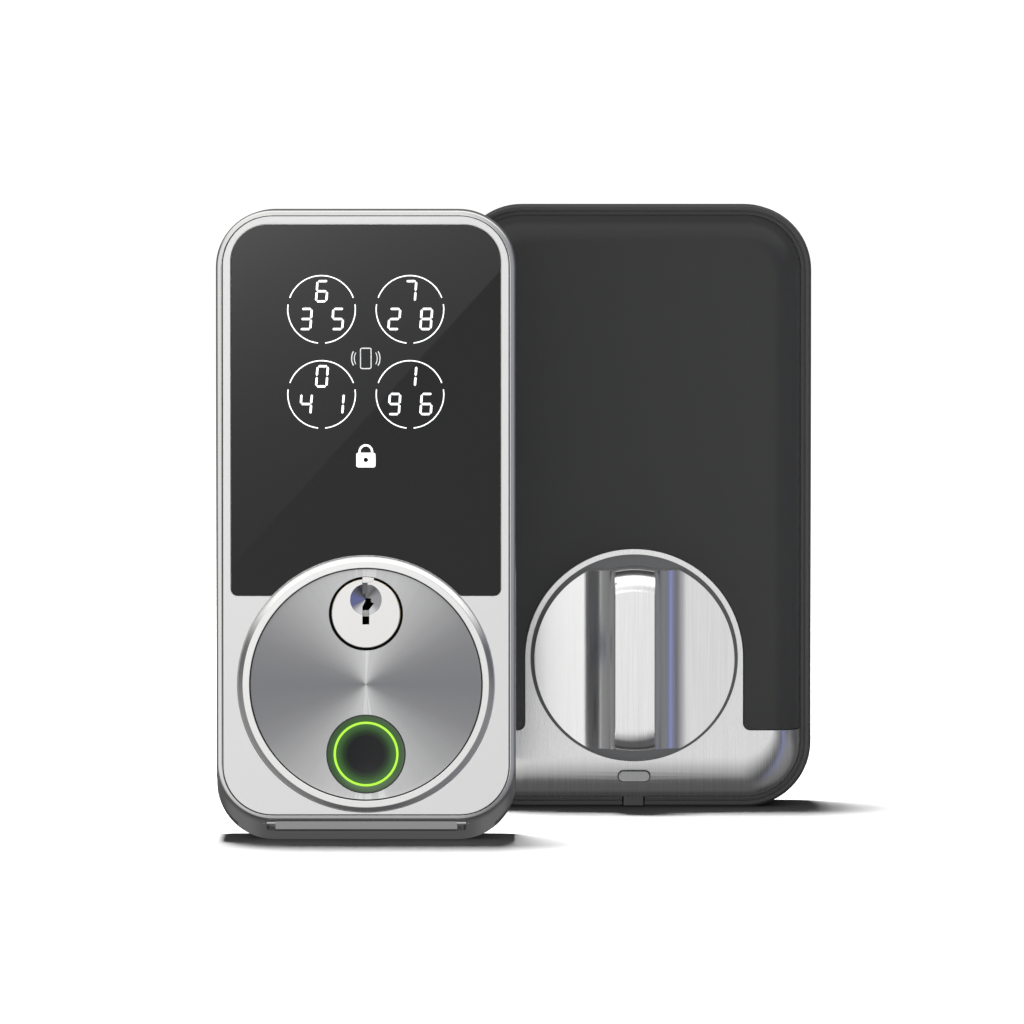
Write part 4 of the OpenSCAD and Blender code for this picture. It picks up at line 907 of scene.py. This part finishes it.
knob_t = along_z("thumb_turn_knob", sect, ZI - 22.3, ZI + 22.3)
boolean(knob_t, prism("t", circle(XI, ZI, 25.05, 224), -9 + IY, 9.2 + IY), "INTERSECT")
bar = along_z("t2", [(XI - GH, YK + 0.2), (XI - GH + 0.2, YK - 0.02), (XI + GH - 0.2, YK - 0.02), (XI + GH, YK + 0.2), (XI + GH, 8.9), (XI - GH, 8.9)], ZI - 23.5, ZI + 23.5)
boolean(bar, turn("t", XI, ZI, DOME, 224), "INTERSECT")
boolean(knob_t, bar, "UNION")
boolean(knob_t, prism("t", circle(XI, ZI, 7.02, 64), 4.18 + IY, 12 + IY))
tidy(knob_t)
soften(knob_t, 0.10, 2, 40, 30)
piece(knob_t, "thumb_turn", ["knob"], "knob_metal")

# softer edges on carried-over plates at the back
for n in ("mounting_plate", "exterior_back_plate", "gasket", "battery_tray", "gearbox_plate", "motor", "mounting_posts", "tailpiece"):
    b = NODES[n].modifiers.new("edge", "BEVEL")
    b.width = 0.0002
    b.segments = 2
    b.limit_method = "ANGLE"
    b.angle_limit = math.radians(50)

# ------------------------------------------------------------------ stage
floor = bpy.data.objects.new("floor", bpy.data.meshes.new("floor"))
scene.collection.objects.link(floor)
floor.data.from_pydata([(-60, -60, 0), (60, -60, 0), (60, 60, 0), (-60, 60, 0)], [], [(0, 1, 2, 3)])
fm = bpy.data.materials.new("floor_white")
fm.use_nodes = True
fp = fm.node_tree.nodes["Principled BSDF"]
fp.inputs["Base Color"].default_value = (0.14, 0.14, 0.14, 1)
fp.inputs["Roughness"].default_value = 1.0
fp.inputs["Specular IOR Level"].default_value = 0.0
fn, fl_ = fm.node_tree.nodes, fm.node_tree.links
ftc = fn.new("ShaderNodeTexCoord")
fle = fn.new("ShaderNodeVectorMath")
fle.operation = "LENGTH"
fl_.new(ftc.outputs["Object"], fle.inputs[0])
fmr = fn.new("ShaderNodeMapRange")
fmr.interpolation_type = "SMOOTHSTEP"
fmr.inputs["From Min"].default_value = 0.16
fmr.inputs["From Max"].default_value = 0.7
fl_.new(fle.outputs["Value"], fmr.inputs["Value"])
fl_.new(fmr.outputs[0], fp.inputs["Emission Strength"])
fp.inputs["Emission Color"].default_value = (1, 1, 1, 1)
floor.data.materials.append(fm)
floor.visible_glossy = False

# a tall soft panel beside the camera gives the touch glass its diagonal sheen; only reflections see it
CAM = Vector((-2.19, -2195.7, 170.86))
py = -2295.7
k = (2 * (-66.1) - py - CAM.y) / (-66.1 - CAM.y)


def card_pt(gx, gz):
    return (CAM.x + (gx - CAM.x) * k, py, CAM.z + (gz - CAM.z) * k)


sl = (137.4 - 66.2) / (-4.7 + 69.5)
g = [(-95, 66.2 + sl * (-95 + 69.5)), (20, 137.4 + sl * 24.7), (20, 200), (-95, 200)]
card = new_obj("sheen_panel", [card_pt(*p) for p in g], [(0, 1, 2, 3)])
cm = bpy.data.materials.new("panel_light")
cm.use_nodes = True
nt = cm.node_tree
nt.nodes.clear()
out = nt.nodes.new("ShaderNodeOutputMaterial")
em = nt.nodes.new("ShaderNodeEmission")
nt.links.new(em.outputs[0], out.inputs[0])
tc = nt.nodes.new("ShaderNodeTexCoord")
dt = nt.nodes.new("ShaderNodeVectorMath")
dt.operation = "DOT_PRODUCT"
# a = (gx + 68.5) / 62.6 + (141 - gz) / 31.2 in glass millimetres, turned into panel metres
ux, uz = 1 / 62.6 / k / MM, -1 / 31.2 / k / MM
dt.inputs[1].default_value = (ux, 0, uz)
nt.links.new(tc.outputs["Object"], dt.inputs[0])
c0 = card_pt(-68.5, 141)
off = nt.nodes.new("ShaderNodeMath")
off.operation = "SUBTRACT"
off.inputs[1].default_value = (c0[0] * ux + c0[2] * uz) * MM
nt.links.new(dt.outputs["Value"], off.inputs[0])
m1 = nt.nodes.new("ShaderNodeMath")
m1.operation = "MULTIPLY"
m1.inputs[1].default_value = -0.9
nt.links.new(off.outputs[0], m1.inputs[0])
ex = nt.nodes.new("ShaderNodeMath")
ex.operation = "EXPONENT"
nt.links.new(m1.outputs[0], ex.inputs[0])
m2 = nt.nodes.new("ShaderNodeMath")
m2.operation = "MULTIPLY_ADD"
m2.inputs[1].default_value = 1.42
m2.inputs[2].default_value = 0.80
nt.links.new(ex.outputs[0], m2.inputs[0])
nt.links.new(m2.outputs[0], em.inputs["Strength"])
card.data.materials.append(cm)
card.visible_camera = False
card.visible_diffuse = False
card.visible_shadow = False

# studio surroundings: white to the camera, soft bands of light to the surfaces
world = bpy.data.worlds.new("studio")
scene.world = world
world.use_nodes = True
nt = world.node_tree
nt.nodes.clear()
nd, ln = nt.nodes, nt.links
out = nd.new("ShaderNodeOutputWorld")
mixs = nd.new("ShaderNodeMixShader")
lp = nd.new("ShaderNodeLightPath")
bg_cam = nd.new("ShaderNodeBackground")
bg_cam.inputs["Color"].default_value = (1, 1, 1, 1)
bg_cam.inputs["Strength"].default_value = 1.1
bg_env = nd.new("ShaderNodeBackground")
ln.new(lp.outputs["Is Camera Ray"], mixs.inputs[0])
ln.new(bg_env.outputs[0], mixs.inputs[1])
ln.new(bg_cam.outputs[0], mixs.inputs[2])
ln.new(mixs.outputs[0], out.inputs[0])
tc = nd.new("ShaderNodeTexCoord")
sep = nd.new("ShaderNodeSeparateXYZ")
ln.new(tc.outputs["Generated"], sep.inputs[0])
neg = nd.new("ShaderNodeMath")
neg.operation = "MULTIPLY"
neg.inputs[1].default_value = -1
ln.new(sep.outputs["Y"], neg.inputs[0])
at = nd.new("ShaderNodeMath")
at.operation = "ARCTAN2"
ln.new(sep.outputs["X"], at.inputs[0])
ln.new(neg.outputs[0], at.inputs[1])
mr = nd.new("ShaderNodeMapRange")
mr.inputs["From Min"].default_value = -math.pi
mr.inputs["From Max"].default_value = math.pi
ln.new(at.outputs[0], mr.inputs["Value"])
ramp = nd.new("ShaderNodeValToRGB")
el = ramp.color_ramp.elements
while len(el) > 1:
    el.remove(el[-1])
STOPS = [(-180, (.13, .13, .13)), (-140, (.13, .13, .13)), (-115, (.11, .11, .11)), (-77, (.17, .17, .17)), (-62, (.24, .24, .24)), (-52, (.66, .66, .67)), (-42, (.30, .30, .30)),
         (-31, (.80, .80, .80)), (-20, (1.05, 1.05, 1.04)), (-9, (.98, .98, .98)), (-3, (.93, .93, .93)), (0, (.82, .82, .82)), (3, (.72, .72, .725)), (9, (.64, .64, .65)),
         (18, (.40, .40, .41)), (33, (.14, .14, .15)), (45, (.22, .23, .32)), (52, (.26, .29, .62)), (60, (.17, .18, .22)), (79, (.15, .155, .165)),
         (110, (.08, .08, .085)), (140, (.11, .11, .11)), (180, (.13, .13, .13))]
for i, (a, c) in enumerate(STOPS):
    pos = (a + 180) / 360
    e = el[0] if i == 0 else el.new(pos)
    e.position = pos
    e.color = (*c, 1)
ln.new(mr.outputs[0], ramp.inputs["Fac"])
up = nd.new("ShaderNodeMapRange")
up.interpolation_type = "SMOOTHSTEP"
up.inputs["From Min"].default_value = 0.22
up.inputs["From Max"].default_value = 0.72
ln.new(sep.outputs["Z"], up.inputs["Value"])
mixu = nd.new("ShaderNodeMix")
mixu.data_type = "RGBA"
mixu.inputs["B"].default_value = (1.25, 1.25, 1.25, 1)
bk = nd.new("ShaderNodeMapRange")
bk.interpolation_type = "SMOOTHSTEP"
bk.inputs["From Min"].default_value = 0.12
bk.inputs["From Max"].default_value = 0.55
bk.inputs["To Min"].default_value = 1.0
bk.inputs["To Max"].default_value = 0.06
ln.new(sep.outputs["Y"], bk.inputs["Value"])
um = nd.new("ShaderNodeMath")
um.operation = "MULTIPLY"
ln.new(up.outputs[0], um.inputs[0])
ln.new(bk.outputs[0], um.inputs[1])
ln.new(um.outputs[0], mixu.inputs["Factor"])
ln.new(ramp.outputs["Color"], mixu.inputs["A"])
dn = nd.new("ShaderNodeValToRGB")
el = dn.color_ramp.elements
while len(el) > 1:
    el.remove(el[-1])
for i, (zv, v) in enumerate(((-1, .19), (-.9, .25), (-.8, .36), (-.65, .50), (-.45, .68), (-.28, .86), (-.12, 1.0), (1, 1.0))):
    e = el[0] if i == 0 else el.new((zv + 1) / 2)
    e.position = (zv + 1) / 2
    e.color = (v, v, v, 1)
mz = nd.new("ShaderNodeMapRange")
mz.inputs["From Min"].default_value = -1
mz.inputs["From Max"].default_value = 1
ln.new(sep.outputs["Z"], mz.inputs["Value"])
ln.new(mz.outputs[0], dn.inputs["Fac"])
mul = nd.new("ShaderNodeMix")
mul.data_type = "RGBA"
mul.blend_type = "MULTIPLY"
mul.inputs["Factor"].default_value = 1.0
ln.new(mixu.outputs["Result"], mul.inputs["A"])
ln.new(dn.outputs["Color"], mul.inputs["B"])
# two low side fills for the rounded lower corners
ax = nd.new("ShaderNodeMath")
ax.operation = "ABSOLUTE"
ln.new(sep.outputs["X"], ax.inputs[0])
cmb = nd.new("ShaderNodeCombineXYZ")
ln.new(ax.outputs[0], cmb.inputs["X"])
ln.new(sep.outputs["Y"], cmb.inputs["Y"])
ln.new(sep.outputs["Z"], cmb.inputs["Z"])
dd = nd.new("ShaderNodeVectorMath")
dd.operation = "DOT_PRODUCT"
dd.inputs[1].default_value = (0.80, -0.05, -0.60)
ln.new(cmb.outputs[0], dd.inputs[0])
fl3 = nd.new("ShaderNodeMapRange")
fl3.interpolation_type = "SMOOTHSTEP"
fl3.inputs["From Min"].default_value = 0.72
fl3.inputs["From Max"].default_value = 0.98
fl3.inputs["To Max"].default_value = 0.15
ln.new(dd.outputs["Value"], fl3.inputs["Value"])
addc = nd.new("ShaderNodeMix")
addc.data_type = "RGBA"
addc.blend_type = "ADD"
addc.inputs["B"].default_value = (1, 0.98, 1, 1)
ln.new(fl3.outputs[0], addc.inputs["Factor"])
lo3 = nd.new("ShaderNodeMapRange")
lo3.interpolation_type = "SMOOTHSTEP"
lo3.inputs["From Min"].default_value = -0.78
lo3.inputs["From Max"].default_value = -0.97
ln.new(sep.outputs["Z"], lo3.inputs["Value"])
mlo = nd.new("ShaderNodeMix")
mlo.data_type = "RGBA"
mlo.inputs["B"].default_value = (0.104, 0.102, 0.106, 1)
ln.new(lo3.outputs[0], mlo.inputs["Factor"])
ln.new(mul.outputs["Result"], mlo.inputs["A"])
ln.new(mlo.outputs["Result"], addc.inputs["A"])
ln.new(addc.outputs["Result"], bg_env.inputs["Color"])
dif = nd.new("ShaderNodeMapRange")
dif.inputs["To Min"].default_value = 1.0
dif.inputs["To Max"].default_value = 0.38
ln.new(lp.outputs["Is Diffuse Ray"], dif.inputs["Value"])
ln.new(dif.outputs[0], bg_env.inputs["Strength"])

# an overhead softbox that lights only the floor
la = bpy.data.lights.new("overhead", "AREA")
la.shape = "RECTANGLE"
la.size = 0.36
la.size_y = 0.34
la.energy = 330
lo = bpy.data.objects.new("overhead", la)
lo.location = (-0.12, 0.24, 1.6)
lo.rotation_euler = (math.radians(-9), 0, 0)
only = bpy.data.collections.new("floor_only")
only.objects.link(floor)
lo.light_linking.receiver_collection = only
scene.collection.objects.link(lo)
lo.visible_glossy = False

# ------------------------------------------------------------------ camera
cam = bpy.data.cameras.new("camera")
cam.lens = 312.3
cam.sensor_width = 36
cam.clip_start = 0.05
cam.clip_end = 500
co = bpy.data.objects.new("camera", cam)
co.location = CAM * MM
co.rotation_euler = (math.radians(90 - 2.465), 0, 0)
scene.collection.objects.link(co)
scene.camera = co
scene.view_settings.view_transform = "Standard"
scene.view_settings.look = "None"
